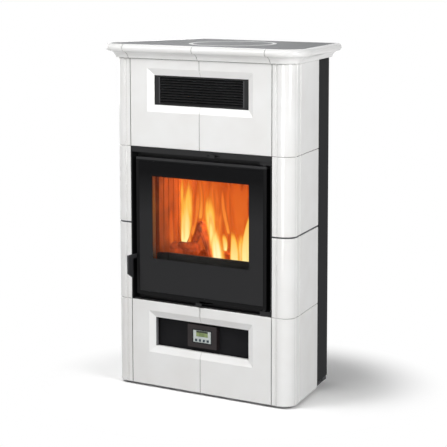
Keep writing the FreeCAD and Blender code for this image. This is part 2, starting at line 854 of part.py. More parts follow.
def make_door():
    leaf = box(-leaf_half_width, leaf_half_width, leaf_face_inset, leaf_rear,
               leaf_bottom_height, leaf_top_height)
    face_edges = [edge for edge in leaf.Edges if edge.BoundBox.YMax < leaf_face_inset + seat]
    leaf = leaf.makeFillet(leaf_edge_rounding, face_edges)
    pane_half = leaf_half_width - pane_margin
    pocket_depth = leaf_face_inset + pane_gap + pane_thickness + seat
    pocket = box(-pane_half - pane_gap, pane_half + pane_gap, leaf_face_inset - overrun, pocket_depth,
                 leaf_bottom_height + pane_margin - pane_gap, leaf_top_height - pane_margin + pane_gap)
    window = box(-window_half_width, window_half_width, leaf_face_inset, leaf_rear + overrun,
                 window_bottom_height, window_top_height)
    groove = seal_ring(seal_width + 2 * seal_side_gap, leaf_rear - seal_groove_depth,
                       leaf_rear + overrun)
    hinge_radius = hinge_pin_radius + hinge_running_gap
    bores = [cylinder(hinge_radius, vec(hinge_x, hinge_y, leaf_bottom_height - overrun),
                      vec(0, 0, 1), hinge_bore_depth + overrun),
             cylinder(hinge_radius, vec(hinge_x, hinge_y, leaf_top_height + overrun),
                      vec(0, 0, -1), hinge_bore_depth + overrun)]
    pin_start = vec(lever_x - lever_side_gap, lever_pivot_y, lever_pivot_height)
    pin_hole = cylinder(lever_pin_radius, pin_start, vec(1, 0, 0), lever_pin_length)
    export("door_frame", cut_all(leaf, [pocket, window, groove, pin_hole] + bores))
    export("handle_pin", cylinder(lever_pin_radius, pin_start, vec(1, 0, 0), lever_pin_length))
    pane_front = leaf_face_inset + pane_gap
    export("door_glass", box(-pane_half, pane_half, pane_front, pane_front + pane_thickness,
                             leaf_bottom_height + pane_margin, leaf_top_height - pane_margin))
    strip_x = window_half_width - seat - strip_width
    strip_y = pane_front + pane_thickness + seat
    strip = box(strip_x, strip_x + strip_width, strip_y, strip_y + strip_thickness,
                window_bottom_height + strip_width, window_top_height - strip_width)
    export("glass_strips", both_sides(strip))
    export("door_seal", seal_ring(seal_width, leaf_rear - seal_groove_depth + seat,
                                  surround_back - seat))


def make_handle():
    """A plate lever beside the leaf's edge: a hanging grip in front, a hook behind the pivot."""
    def at(y, z):
        return vec(lever_x, y, lever_pivot_height + z)

    front = -lever_grip_reach
    back = front + lever_grip_width
    half_arm = lever_arm_height / 2
    hook_front = lever_pivot_y + hook_reach - hook_nose_width
    hook_rear = lever_pivot_y + hook_reach
    points = [
        at(front, half_arm), at(front, -lever_grip_drop + lever_grip_chamfer),
        at(back, -lever_grip_drop), at(back, -half_arm), at(lever_pivot_y, -half_arm),
        at(hook_rear, hook_nose_rise - hook_height - hook_nose_width), at(hook_rear, hook_nose_rise),
        at(hook_front, hook_nose_rise), at(hook_front, hook_nose_rise - hook_height),
        at(lever_pivot_y, half_arm)]
    plate = Part.Face(polygon(points)).extrude(vec(lever_thickness, 0, 0))
    hub_start = at(lever_pivot_y, 0)
    hub = cylinder(lever_hub_radius, hub_start, vec(1, 0, 0), lever_thickness)
    bore_start = hub_start - vec(overrun, 0, 0)
    bore = cylinder(lever_pin_radius + hinge_running_gap, bore_start, vec(1, 0, 0),
                    lever_thickness + 2 * overrun)
    export("handle_lever", fused([plate, hub]).cut(bore))


# Air levers

def make_air_levers():
    half_bar = primary_bar_width / 2
    bar = box(-half_bar, half_bar, -primary_tab_reach, shutter_depth + overrun, primary_bar_height,
              primary_bar_height + primary_bar_thickness)
    middle = primary_bar_height + primary_bar_thickness / 2
    tab = box(-primary_tab_width / 2, primary_tab_width / 2, -primary_tab_reach,
              -primary_tab_reach + lever_tab_thickness, middle - primary_tab_height / 2,
              middle + primary_tab_height / 2)
    shutter_top = firebox_bottom_height - primary_shutter_gap
    riser = box(-half_bar, half_bar, shutter_depth, shutter_depth + primary_bar_thickness,
                primary_bar_height, shutter_top)
    shutter = box(-shutter_width / 2, shutter_width / 2, shutter_depth,
                  shutter_depth + shutter_length, shutter_top - primary_bar_thickness, shutter_top)
    export("primary_air_lever", fused([bar, tab, riser, shutter]))
    half_bar = secondary_bar_width / 2
    plate_depth = surround_back - seat - primary_bar_thickness
    bar = box(secondary_place - half_bar, secondary_place + half_bar, -secondary_tab_reach,
              plate_depth + seat, secondary_bar_height,
              secondary_bar_height + secondary_bar_thickness)
    middle = secondary_bar_height + secondary_bar_thickness / 2
    tab = box(secondary_place - secondary_tab_width / 2, secondary_place + secondary_tab_width / 2,
              -secondary_tab_reach, -secondary_tab_reach + lever_tab_thickness,
              middle - secondary_tab_height / 2, middle + secondary_tab_height / 2)
    plate = box(secondary_place - shutter_width / 2, secondary_place + shutter_width / 2,
                plate_depth, plate_depth + primary_bar_thickness,
                middle - secondary_shutter_height / 2, middle + secondary_shutter_height / 2)
    export("secondary_air_lever", fused([bar, tab, plate]))


# Firebox and what is in it

def make_firebox():
    front = surround_depth + seat
    shell = box(-firebox_half_width, firebox_half_width, front, firebox_rear_depth,
                firebox_bottom_height, firebox_top_height)
    inner = firebox_inner_half
    hollow = box(-inner, inner, front - overrun, firebox_inner_rear,
                 firebox_bottom_height + firebox_wall, firebox_top_height - firebox_wall)
    flue = cylinder(flue_bore_radius - flue_stop_step,
                    vec(0, firebox_inner_rear - overrun, flue_centre_height),
                    vec(0, 1, 0), firebox_wall + 2 * overrun)
    vent = box(-primary_bar_width, primary_bar_width, shutter_depth + overrun,
               shutter_depth + shutter_length - overrun, firebox_bottom_height - overrun,
               firebox_bottom_height + firebox_wall + overrun)
    shell = cut_all(shell, [hollow, flue, vent])
    ledge_top = hearth_bottom_height - seat
    ledge = box(inner - ledge_width, inner, front, firebox_inner_rear,
                ledge_top - ledge_thickness, ledge_top)
    pieces = [shell] + both_sides(ledge)
    for y0, way in ((front + leg_front_gap, 1), (firebox_rear_depth, -1)):
        corner = firebox_half_width
        points = [(0, 0), (leg_width, 0), (leg_width, leg_thickness), (leg_thickness, leg_thickness),
                  (leg_thickness, leg_width), (0, leg_width)]
        wire = polygon([vec(corner - x, y0 + way * y, 0) for x, y in points])
        pieces += both_sides(lift(wire, base_top, firebox_bottom_height + firebox_wall / 2))
    export("firebox", fused(pieces))


def ribbed_slab(length, bottom, top):
    """A lining slab that lies along x, with upright ribs on its front face."""
    slab = box(0, length, lining_rib_depth, lining_thickness, bottom, top)
    count = int((length - lining_rib_pitch) // lining_rib_pitch)
    first = (length - (count - 1) * lining_rib_pitch - lining_rib_width) / 2
    ribs = [box(first + n * lining_rib_pitch, first + n * lining_rib_pitch + lining_rib_width,
                0, lining_rib_depth + overrun / 2, bottom, top) for n in range(count)]
    return fused([slab] + ribs)


def make_lining():
    inner = firebox_inner_half - lining_gap
    bottom = hearth_top_height + seat
    rear = firebox_inner_rear - lining_gap
    back = ribbed_slab(2 * inner, bottom, lining_top_height)
    back.translate(vec(-inner, rear - lining_thickness, 0))
    export("lining_back", back)
    length = rear - lining_thickness - lining_gap - lining_front_depth
    side = ribbed_slab(length, bottom, lining_top_height)
    side.rotate(vec(0, 0, 0), vec(0, 0, 1), -math.degrees(math.pi / 2))
    side.translate(vec(inner - lining_thickness, lining_front_depth + length, 0))
    right, left = both_sides(side)
    export("lining_right", right)
    export("lining_left", left)
    export("baffle", box(-inner, inner, baffle_front_depth, rear, lining_top_height + seat,
                         lining_top_height + seat + baffle_thickness))


def make_hearth():
    inner = firebox_inner_half - lining_gap
    front = surround_depth + seat
    rear = firebox_inner_rear - lining_gap
    bottom = hearth_bottom_height
    plate = box(-inner, inner, front, rear, bottom, hearth_top_height)
    middle = bottom + hearth_thickness / 2
    rest = box(-grate_half_width, grate_half_width, grate_front_depth, grate_rear_depth,
               middle, hearth_top_height + overrun)
    hole = box(-grate_half_width + grate_lip, grate_half_width - grate_lip,
               grate_front_depth + grate_lip, grate_rear_depth - grate_lip,
               bottom - overrun, hearth_top_height + overrun)
    export("hearth_plate", cut_all(plate, [rest, hole]))
    grate = box(-grate_half_width + grate_gap, grate_half_width - grate_gap,
                grate_front_depth + grate_gap, grate_rear_depth - grate_gap,
                middle + seat, hearth_top_height)
    span = 2 * (grate_half_width - grate_rim)
    count = int((span - grate_slot_width) // grate_bar_pitch) + 1
    first = -(count - 1) * grate_bar_pitch / 2
    slots = [box(first + n * grate_bar_pitch - grate_slot_width / 2,
                 first + n * grate_bar_pitch + grate_slot_width / 2,
                 grate_front_depth + grate_rim, grate_rear_depth - grate_rim,
                 middle - overrun, hearth_top_height + overrun) for n in range(count)]
    export("grate", cut_all(grate, slots))
    guard = box(-guard_half_width, guard_half_width, guard_front_depth,
                guard_front_depth + guard_thickness, hearth_top_height + seat,
                hearth_top_height + seat + guard_height)
    shoulders = [edge for edge in guard.Edges if edge.BoundBox.YLength > guard_thickness - seat
                 and edge.BoundBox.ZMin > hearth_top_height + guard_height / 2]
    export("log_guard", guard.makeFillet(guard_rounding, shoulders))


def make_ash_pan():
    bottom = ash_pan_bottom_height
    rear = ash_pan_rear_depth
    pan = box(-ash_pan_half_width, ash_pan_half_width, ash_pan_front_depth, rear,
              bottom, ash_pan_top_height)
    inside = ash_pan_half_width - ash_pan_wall
    hollow = box(-inside, inside, ash_pan_front_depth + ash_pan_wall, rear - ash_pan_wall,
                 bottom + ash_pan_wall, ash_pan_top_height + overrun)
    grip_z = (bottom + ash_pan_top_height) / 2
    grip = box(-ash_pan_grip_width / 2, ash_pan_grip_width / 2,
               ash_pan_front_depth - ash_pan_grip_reach, ash_pan_front_depth + ash_pan_wall / 2,
               grip_z, grip_z + ash_pan_grip_thickness)
    export("ash_pan", fused([pan.cut(hollow), grip]))


# Collars, duct and grille

def make_collars():
    """A flanged flue socket on the firebox, with a stop for the pipe, and a spigot for outside air."""
    back = vec(0, 1, 0)
    start = vec(0, firebox_rear_depth, flue_centre_height)
    length = rear_reach - start.y
    outer = cylinder(flue_bore_radius + flue_wall, start, back, length)
    flange = cylinder(flue_bore_radius + flue_wall + flue_flange_width, start, back,
                      flue_flange_thickness)
    passage = cylinder(flue_bore_radius - flue_stop_step, start - back * overrun, back, length)
    socket_start = vec(0, rear_reach - flue_socket_length, flue_centre_height)
    socket = cylinder(flue_bore_radius, socket_start, back, flue_socket_length + overrun)
    export("flue_collar", cut_all(fused([outer, flange]), [passage, socket]))
    start = vec(0, body_depth, intake_centre_height)
    outer = cylinder(intake_outer_radius, start, back, collar_reach)
    flange = cylinder(intake_outer_radius + intake_flange_width, start, back, intake_flange_thickness)
    bore = cylinder(intake_outer_radius - intake_wall, start - back * overrun, back,
                    collar_reach + 2 * overrun)
    export("air_intake_collar", fused([outer, flange]).cut(bore))


def make_duct():
    """A sheet box behind the grille. Its floor is open behind a shelf, over the firebox."""
    front = front_tile_depth + seat
    inner_rear = body_depth - duct_rear_gap - duct_sheet
    duct = box(-duct_half_width, duct_half_width, front, body_depth - duct_rear_gap,
               duct_bottom, duct_top)
    inside = duct_half_width - duct_sheet
    hollow = box(-inside, inside, front - overrun, inner_rear,
                 duct_bottom + duct_sheet, duct_top - duct_sheet)
    floor_hole = box(-inside, inside, front + duct_shelf, inner_rear,
                     duct_bottom - overrun, duct_bottom + duct_sheet + overrun)
    export("outlet_duct", cut_all(duct, [hollow, floor_hole]))


def make_grille():
    """A framed grille with slanted louvres between two side strips."""
    half_width = opening_half_width - grille_gap
    half_height = opening_half_height - grille_gap
    z = grille_centre_height
    rear = grille_front_depth + grille_depth
    frame = box(-half_width, half_width, grille_front_depth, rear, z - half_height, z + half_height)
    clear_half = half_width - grille_side_strip
    clear_height = half_height - grille_rim
    frame = frame.cut(box(-clear_half, clear_half, grille_front_depth - overrun, rear + overrun,
                          z - clear_height, z + clear_height))
    pitch = 2 * clear_height / louvre_count
    middle = grille_front_depth + grille_depth / 2
    length = (grille_depth - louvre_thickness) / math.cos(louvre_tilt)
    pieces = [frame]
    for number in range(louvre_count):
        level = z - clear_height + (number + 1 / 2) * pitch
        blade = box(-clear_half - seat, clear_half + seat, middle - length / 2, middle + length / 2,
                    level - louvre_thickness / 2, level + louvre_thickness / 2)
        blade.rotate(vec(0, middle, level), vec(1, 0, 0), math.degrees(louvre_tilt))
        pieces.append(blade)
    export("air_grille", fused(pieces))


# Blower

def make_blower():
    """A long drum of tilted blades in a sheet trough that is open above and behind."""
    bottom = blower_bottom_height
    shell = box(-blower_half_length, blower_half_length, blower_front_depth, blower_rear_depth,
                bottom, bottom + blower_height)
    inside = blower_half_length - blower_sheet
    hollow = box(-inside, inside, blower_front_depth + blower_sheet,
                 blower_rear_depth + overrun, bottom + blower_sheet, bottom + blower_height + overrun)
    across = vec(1, 0, 0)
    axis_start = vec(-blower_half_length - overrun, rotor_centre_depth, rotor_centre_height)
    bearing = cylinder(rotor_shaft_radius + rotor_running_gap, axis_start, across,
                       2 * blower_half_length + 2 * overrun)
    export("blower_housing", shell.cut(hollow).cut(bearing))
    shaft_length = 2 * blower_half_length + motor_shaft_depth + overrun
    shaft = cylinder(rotor_shaft_radius, axis_start, across, shaft_length)
    discs = [cylinder(rotor_radius, vec(x, rotor_centre_depth, rotor_centre_height), across,
                      rotor_disc_thickness)
             for x in (-rotor_half_length, rotor_half_length - rotor_disc_thickness)]
    blade = box(-rotor_half_length + rotor_disc_thickness / 2,
                rotor_half_length - rotor_disc_thickness / 2,
                rotor_centre_depth - blade_thickness / 2, rotor_centre_depth + blade_thickness / 2,
                rotor_centre_height + rotor_radius - blade_length - blade_thickness,
                rotor_centre_height + rotor_radius - blade_thickness)
    blade.rotate(vec(0, rotor_centre_depth, rotor_centre_height + rotor_radius - blade_length / 2),
                 across, math.degrees(blade_tilt))
    blades = []
    for number in range(blade_count):
        copy = blade.copy()
        copy.rotate(axis_start, across, math.degrees(2 * math.pi * number / blade_count))
        blades.append(copy)
    export("blower_rotor", fused([shaft] + discs + blades))
    motor_start = vec(blower_half_length + seat, rotor_centre_depth, rotor_centre_height)
    motor = box(motor_start.x, motor_start.x + motor_length, rotor_centre_depth - motor_half_width,
                rotor_centre_depth + motor_half_width, rotor_centre_height - motor_half_width,
                rotor_centre_height + motor_half_width)
    bore = cylinder(rotor_shaft_radius + rotor_running_gap, motor_start - across * overrun,
                    across, motor_shaft_depth + 2 * overrun)
    export("blower_motor", motor.cut(bore))


# Control niche

def make_niche():
    half_width = opening_half_width + niche_wall_gap
    half_height = opening_half_height + niche_wall_gap
    z = niche_centre_height
    front = front_tile_depth + seat
    rear = niche_panel_depth + niche_panel_sheet
    tray = box(-half_width - niche_panel_sheet, half_width + niche_panel_sheet, front, rear,
               z - half_height - niche_panel_sheet, z + half_height + niche_panel_sheet)
    hollow = box(-half_width, half_width, front - overrun, niche_panel_depth,
                 z - half_height, z + half_height)
    export("niche_panel", tray.cut(hollow))


def button_places():
    first = -(button_count - 1) * button_spacing / 2
    return [first + number * button_spacing for number in range(button_count)]


def button_box(x, grow, y0, y1):
    z = plate_centre_height - button_drop
    return box(x - button_half_width - grow, x + button_half_width + grow, y0, y1,
               z - button_half_height - grow, z + button_half_height + grow)


def make_controls():
    z = plate_centre_height
    face = plate_face_depth
    rear = niche_panel_depth - seat
    plate = box(-plate_half_width, plate_half_width, face, rear, z - plate_half_height,
                z + plate_half_height)
    uprights = [edge for edge in plate.Edges if edge.BoundBox.YLength > face]
    plate = plate.makeFillet(plate_rounding, uprights)
    recess_x = bezel_half_width + bezel_recess_gap
    recess_z = bezel_half_height + bezel_recess_gap
    recess = box(-recess_x, recess_x, face - overrun, face + bezel_thickness,
                 z - recess_z, z + recess_z)
    well_depth = face - button_proud + button_length + button_travel + 2 * seat
    wells = [button_box(x, button_gap, face - overrun, well_depth) for x in button_places()]
    export("control_plate", cut_all(plate, [recess] + wells))
    bezel_front = face - seat
    bezel = box(-bezel_half_width, bezel_half_width, bezel_front, face + bezel_thickness - seat,
                z - bezel_half_height, z + bezel_half_height)
    display_z = z + display_rise
    screen = box(-display_half_width, display_half_width, bezel_front + seat,
                 face + bezel_thickness - seat, display_z - display_half_height,
                 display_z + display_half_height)
    screen_hole = box(-display_half_width - seat, display_half_width + seat, face - overrun,
                      face + bezel_thickness + overrun, display_z - display_half_height - seat,
                      display_z + display_half_height + seat)
    holes = [button_box(x, button_gap, face - overrun, well_depth) for x in button_places()]
    export("lcd_bezel", cut_all(bezel, [screen_hole] + holes))
    export("lcd_display", screen)
    for number, x in enumerate(button_places(), 1):
        start = face - button_proud - seat
        export("button_%d" % number, button_box(x, 0, start, start + button_length))


def make_inlet():
    """A flanged socket for a mains lead, let into the back panel."""
    rear = body_depth + inlet_flange_thickness
    body = inlet_box(0, body_depth - inlet_length, body_depth)
    flange = inlet_box(inlet_flange, body_depth, rear)
    socket = inlet_box(-inlet_wall, rear - inlet_socket_depth, rear + overrun)
    export("mains_inlet", fused([body, flange]).cut(socket))


make_tiles()
make_cornice()
make_top()
make_base()
make_inner_frame()
make_side_panels()
make_back_panel()
make_surround()
make_hinge_pins()
make_door()
make_handle()
make_air_levers()
make_firebox()
make_lining()
make_hearth()
make_ash_pan()
make_collars()
make_duct()
make_grille()
make_blower()
make_niche()
make_controls()
make_inlet()
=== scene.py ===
import bpy
import bmesh
import math
import random
from mathutils import Matrix, Vector


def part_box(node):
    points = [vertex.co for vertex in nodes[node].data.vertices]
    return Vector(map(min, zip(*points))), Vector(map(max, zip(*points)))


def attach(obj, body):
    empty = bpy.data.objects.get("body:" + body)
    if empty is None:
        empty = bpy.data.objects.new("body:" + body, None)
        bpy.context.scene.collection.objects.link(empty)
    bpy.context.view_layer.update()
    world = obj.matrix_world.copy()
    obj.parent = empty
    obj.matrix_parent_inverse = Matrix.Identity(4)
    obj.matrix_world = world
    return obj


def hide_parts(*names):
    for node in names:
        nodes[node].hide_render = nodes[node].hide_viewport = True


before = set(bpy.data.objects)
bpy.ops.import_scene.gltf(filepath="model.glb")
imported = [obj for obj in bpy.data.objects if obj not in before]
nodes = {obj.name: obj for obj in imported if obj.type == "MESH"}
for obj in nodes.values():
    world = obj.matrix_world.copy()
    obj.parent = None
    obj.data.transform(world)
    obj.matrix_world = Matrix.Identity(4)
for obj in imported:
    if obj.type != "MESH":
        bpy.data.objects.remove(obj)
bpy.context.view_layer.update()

# Camera
# The photograph was taken with a long lens from the stove's right, a little above its middle.
# Its place, turn and lens were fitted to the tile joints. The picture is 447 pixels wide.
picture = 447
camera_place = Vector((3.3982, -4.9126, 1.4905))
camera_yaw = math.radians(35.129)
camera_pitch = math.radians(8.578)
camera_roll = math.radians(-0.112)
focal_pixels = 1759.6
optical_centre = (220.24, 216.0)
sensor_width = 36
view_depth = 200
look = Vector((-math.sin(camera_yaw) * math.cos(camera_pitch),
               math.cos(camera_yaw) * math.cos(camera_pitch), -math.sin(camera_pitch)))
level_right = Vector((math.cos(camera_yaw), math.sin(camera_yaw), 0))
level_up = level_right.cross(look)
right = math.cos(camera_roll) * level_right + math.sin(camera_roll) * level_up
up = -math.sin(camera_roll) * level_right + math.cos(camera_roll) * level_up
lens = bpy.data.cameras.new("camera")
lens.sensor_width = sensor_width
lens.lens = focal_pixels / picture * sensor_width
lens.shift_x = (picture / 2 - optical_centre[0]) / picture
lens.shift_y = (optical_centre[1] - picture / 2) / picture
lens.clip_end = view_depth
camera = bpy.data.objects.new("camera", lens)
camera.matrix_world = Matrix.Translation(camera_place) @ Matrix((right, up, -look)).transposed().to_4x4()
bpy.context.scene.collection.objects.link(camera)
bpy.context.scene.camera = camera
bpy.context.scene.view_settings.view_transform = "Standard"


# Studio
# A white sweep of paper in an even white room. A strong lamp stands on the right and a weaker one on
# the left, two in front and one behind for the top's rear edge, and a broad soft light hangs overhead.

def colour(code):
    """Turns an sRGB hex code into the linear colour that shaders use."""
    shares = [int(code[place:place + 2], 16) / 255 for place in (1, 3, 5)]
    linear = [s / 12.92 if s <= 0.04045 else ((s + 0.055) / 1.055) ** 2.4 for s in shares]
    return (*linear, 1)


def add(tree, kind, inputs=None, **settings):
    """Adds a node. An input is a value, a hex code, a socket, or a node whose first live output counts."""
    node = tree.nodes.new(kind)
    for name, value in settings.items():
        if name == "stops":
            ramp = node.color_ramp
            while len(ramp.elements) < len(value):
                ramp.elements.new(0.5)
            for element, (position, code) in zip(ramp.elements, value):
                element.position = position
                element.color = colour(code)
        else:
            setattr(node, name, value)
    for name, value in (inputs or {}).items():
        if isinstance(value, bpy.types.Node):
            value = next(socket for socket in value.outputs if not socket.is_unavailable)
        if isinstance(value, bpy.types.NodeSocket):
            tree.links.new(value, node.inputs[name])
        else:
            node.inputs[name].default_value = colour(value) if isinstance(value, str) else value
    return node


def start_finish(name):
    """Starts a material: its node tree, and the object's own coordinates in metres."""
    material = bpy.data.materials.new(name)
    material.use_nodes = True
    tree = material.node_tree
    tree.nodes.clear()
    place = add(tree, "ShaderNodeTexCoord").outputs["Object"]
    return material, tree, place


def end_finish(tree, shader):
    add(tree, "ShaderNodeOutputMaterial", {"Surface": shader})


def new_piece(name, mesh, material):
    piece = bpy.data.objects.new(name, mesh)
    mesh.materials.clear()
    mesh.materials.append(material)
    bpy.context.scene.collection.objects.link(piece)
    return piece


# To the camera the paper is lit a little past white, so that only its deeper shadows show. Away from
# the stove the lit patch runs out into plain white.
shadow_reach = 0.44
shadow_end = 0.75
floor_half = 60.0
paper, tree, place = start_finish("white paper sweep")
rays = add(tree, "ShaderNodeLightPath")
mirrored = add(tree, "ShaderNodeMath", {0: rays.outputs["Is Glossy Ray"],
                                        1: rays.outputs["Is Transmission Ray"]}, operation="MAXIMUM")
matt = add(tree, "ShaderNodeBsdfDiffuse", {"Color": "#AAAAAA"})
white = add(tree, "ShaderNodeBsdfDiffuse", {"Color": "#FFFFFF"})
past_white = add(tree, "ShaderNodeBsdfDiffuse", {"Color": "#767676"})
plain = add(tree, "ShaderNodeEmission", {"Color": "#FFFFFF", "Strength": 1.0})
lit = add(tree, "ShaderNodeAddShader", {0: white, 1: past_white})
away = add(tree, "ShaderNodeVectorMath", {0: place}, operation="LENGTH")
faded = add(tree, "ShaderNodeMapRange", {"Value": away, "From Min": shadow_reach, "From Max": shadow_end},
            interpolation_type="SMOOTHSTEP")
spread = add(tree, "ShaderNodeMixShader", {0: faded, 1: lit, 2: plain})
to_camera = add(tree, "ShaderNodeMixShader", {0: rays.outputs["Is Camera Ray"], 1: matt, 2: spread})
end_finish(tree, add(tree, "ShaderNodeMixShader", {0: mirrored, 1: to_camera, 2: plain}))
mesh = bpy.data.meshes.new("floor")
mesh.from_pydata([(x * floor_half, y * floor_half, 0) for x, y in ((-1, -1), (1, -1), (1, 1), (-1, 1))],
                 [], [(0, 1, 2, 3)])
floor = new_piece("floor", mesh, paper)

# The room is white to the camera, in mirrors and through glass, and lights the stove only faintly.
world = bpy.data.worlds.new("studio")
world.use_nodes = True
tree = world.node_tree
tree.nodes.clear()
rays = add(tree, "ShaderNodeLightPath")
camera_or_gloss = add(tree, "ShaderNodeMath", {0: rays.outputs["Is Camera Ray"],
                                               1: rays.outputs["Is Glossy Ray"]}, operation="MAXIMUM")
shown = add(tree, "ShaderNodeMath", {0: camera_or_gloss, 1: rays.outputs["Is Transmission Ray"]},
            operation="MAXIMUM")
ambient = add(tree, "ShaderNodeBackground", {"Color": "#FFFFFF", "Strength": 0.03})
backdrop = add(tree, "ShaderNodeBackground", {"Color": "#FFFFFF", "Strength": 1.0})
mixed = add(tree, "ShaderNodeMixShader", {0: shown, 1: ambient, 2: backdrop})
add(tree, "ShaderNodeOutputWorld", {"Surface": mixed})
bpy.context.scene.world = world


def hang_lamp(name, kind, power, spot, aim, **settings):
    """Hangs a lamp at a spot, shining along aim."""
    lamp = bpy.data.lights.new(name, kind)
    lamp.energy = power
    for setting, value in settings.items():
        setattr(lamp, setting, value)
    holder = bpy.data.objects.new(name, lamp)
    turn = Vector(aim).to_track_quat("-Z", "Y").to_matrix().to_4x4()
    holder.matrix_world = Matrix.Translation(spot) @ turn
    bpy.context.scene.collection.objects.link(holder)
    return holder


lamp_target = Vector((0, 0, 0.9))
for name, spot, size, power in (("key_lamp", (-0.75, -1.5, 2.05), 1.2, 15.5),
                                ("side_lamp", (2.7, -0.8, 1.35), 1.2, 42),
                                ("low_lamp", (0.6, -3.0, 0.6), 1.2, 26),
                                ("left_lamp", (-2.7, 0.7, 1.3), 1.2, 13),
                                ("back_lamp", (-1.8, 2.4, 0.8), 1.4, 14)):
    hang_lamp(name, "AREA", power, spot, lamp_target - Vector(spot), shape="DISK", size=size)
hang_lamp("overhead", "SUN", 0.9, (0, 0, 0), (0.20, 0.30, -1.0), angle=math.radians(30.0))


# Ceramic cladding and cornice
# Pressed stoneware tiles and mouldings, white glazed. The glaze is thick and glassy: it mirrors the
# lamps in long streaks and waves very slightly. Painted shade darkens it in the creases where two tiles meet.

def mottle(tree, place, per_metre, detail, dark, light, spread=(0.3, 0.7)):
    """Cloudy noise, so many patches to the metre, and the tint that it gives between two tones."""
    noise = add(tree, "ShaderNodeTexNoise", {"Vector": place, "Scale": per_metre, "Detail": detail})
    return noise, add(tree, "ShaderNodeValToRGB", {"Fac": noise}, stops=list(zip(spread, (dark, light))))


def grain(tree, place, per_metre, detail, strength, height):
    """A bump of fine noise, so many grains to the metre and as high as height."""
    noise = add(tree, "ShaderNodeTexNoise", {"Vector": place, "Scale": per_metre, "Detail": detail})
    return add(tree, "ShaderNodeBump", {"Height": noise, "Strength": strength, "Distance": height})


def dress(names, material):
    """Gives CAD nodes a material."""
    for name in names:
        mesh = nodes[name].data
        mesh.materials.clear()
        mesh.materials.append(material)


glaze_wave_size = 0.030
glaze_tone_size = 0.120
crease_reach = 0.012
white_glaze, tree, place = start_finish("white stoneware glaze")
tone, cloudy = mottle(tree, place, 1 / glaze_tone_size, 2.0, "#F3F2F0", "#F8F8F7")
# Painted shade: ambient occlusion darkens the glaze's colour in creases and joints.
crease = add(tree, "ShaderNodeAmbientOcclusion", {"Distance": crease_reach}, samples=8)
painted_crease_shade = add(tree, "ShaderNodeValToRGB", {"Fac": crease.outputs["AO"]},
            stops=[(0.30, "#84837F"), (0.80, "#FFFFFF")])
tint = add(tree, "ShaderNodeMix", {"Factor": 1.0, "A": cloudy, "B": painted_crease_shade}, data_type="RGBA",
           blend_type="MULTIPLY")
waves = grain(tree, place, 1 / glaze_wave_size, 1.0, 0.03, 0.002)
gloss = add(tree, "ShaderNodeMapRange", {"Value": tone, "To Min": 0.10, "To Max": 0.17})
end_finish(tree, add(tree, "ShaderNodeBsdfPrincipled", {
    "Base Color": tint, "Roughness": gloss, "IOR": 1.50, "Normal": waves}))
dress([name for name in nodes if name.startswith(("corner_tile", "front_tile", "cornice"))], white_glaze)


# Top plate and cover
# Thick steel plate with a satin grey stove enamel, sprayed and baked, and a pressed steel cover laid
# into it. A ground bead runs round the cover near its rim and shines at a low angle.

enamel_skin_size = 0.004
bead_radius = 0.142
bead_half_width = 0.007


def grey_enamel_finish(name, with_bead):
    material, tree, place = start_finish(name)
    skin = grain(tree, place, 1 / enamel_skin_size, 2.0, 0.15, 0.0004)
    cloud, tint = mottle(tree, place, 9.0, 3.0, "#6C6E70", "#7A7C7E")
    gloss = add(tree, "ShaderNodeMapRange", {"Value": cloud, "To Min": 0.40, "To Max": 0.52})
    enamel = add(tree, "ShaderNodeBsdfPrincipled", {
        "Base Color": tint, "Roughness": gloss, "Specular IOR Level": 0.12, "Normal": skin})
    if not with_bead:
        end_finish(tree, enamel)
        return material
    low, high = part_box("top_cover")
    middle = ((low[0] + high[0]) / 2, (low[1] + high[1]) / 2, high[2])
    from_middle = add(tree, "ShaderNodeVectorMath", {0: place, 1: middle}, operation="SUBTRACT")
    reach = add(tree, "ShaderNodeVectorMath", {0: from_middle}, operation="LENGTH")
    bead = add(tree, "ShaderNodeMath", {0: reach, 1: bead_radius, 2: bead_half_width}, operation="COMPARE")
    ground = add(tree, "ShaderNodeBsdfPrincipled", {
        "Base Color": "#C2C3C4", "Metallic": 0.6, "Roughness": 0.32, "Normal": skin})
    end_finish(tree, add(tree, "ShaderNodeMixShader", {0: bead, 1: enamel, 2: ground}))
    return material


dress(["top_plate"], grey_enamel_finish("satin grey stove enamel", False))
dress(["top_cover"], grey_enamel_finish("grey enamelled cover with a ground bead", True))


# Sheet panels and frame
# Folded sheet steel, powder coated matt black, with a fine leathery grain. The grain is drawn
# at 1.6 mm, twice the real size, so that it shows. The back panel is screwed to the frame.

powder_grain_size = 0.0016
black_powder, tree, place = start_finish("matt black powder coat")
leathery = grain(tree, place, 1 / powder_grain_size, 2.0, 0.35, 0.0003)
_, tint = mottle(tree, place, 6.0, 4.0, "#18181A", "#1F1F21")
end_finish(tree, add(tree, "ShaderNodeBsdfPrincipled", {
    "Base Color": tint, "Roughness": 0.75, "Specular IOR Level": 0.10, "Normal": leathery}))
dress(["side_panel_left", "side_panel_right", "back_panel", "niche_panel"], black_powder)

# The screws have a flanged hexagon head, zinc plated: bright, cool and a little patchy.
zinc_screw, tree, place = start_finish("zinc plated screw")
_, tint = mottle(tree, place, 500.0, 2.0, "#7E8286", "#A2A6A9")
end_finish(tree, add(tree, "ShaderNodeBsdfPrincipled", {
    "Base Color": tint, "Metallic": 0.9, "Roughness": 0.38}))


def start_tree(name, sizes):
    """Starts a Geometry Nodes tree with an input for each size. Returns it and the node of its inputs."""
    tree = bpy.data.node_groups.new(name + "_tree", "GeometryNodeTree")
    for title, value in sizes.items():
        kind = "NodeSocketInt" if isinstance(value, int) else "NodeSocketFloat"
        tree.interface.new_socket(title, in_out="INPUT", socket_type=kind)
    tree.interface.new_socket("Geometry", in_out="OUTPUT", socket_type="NodeSocketGeometry")
    return tree, add(tree, "NodeGroupInput")


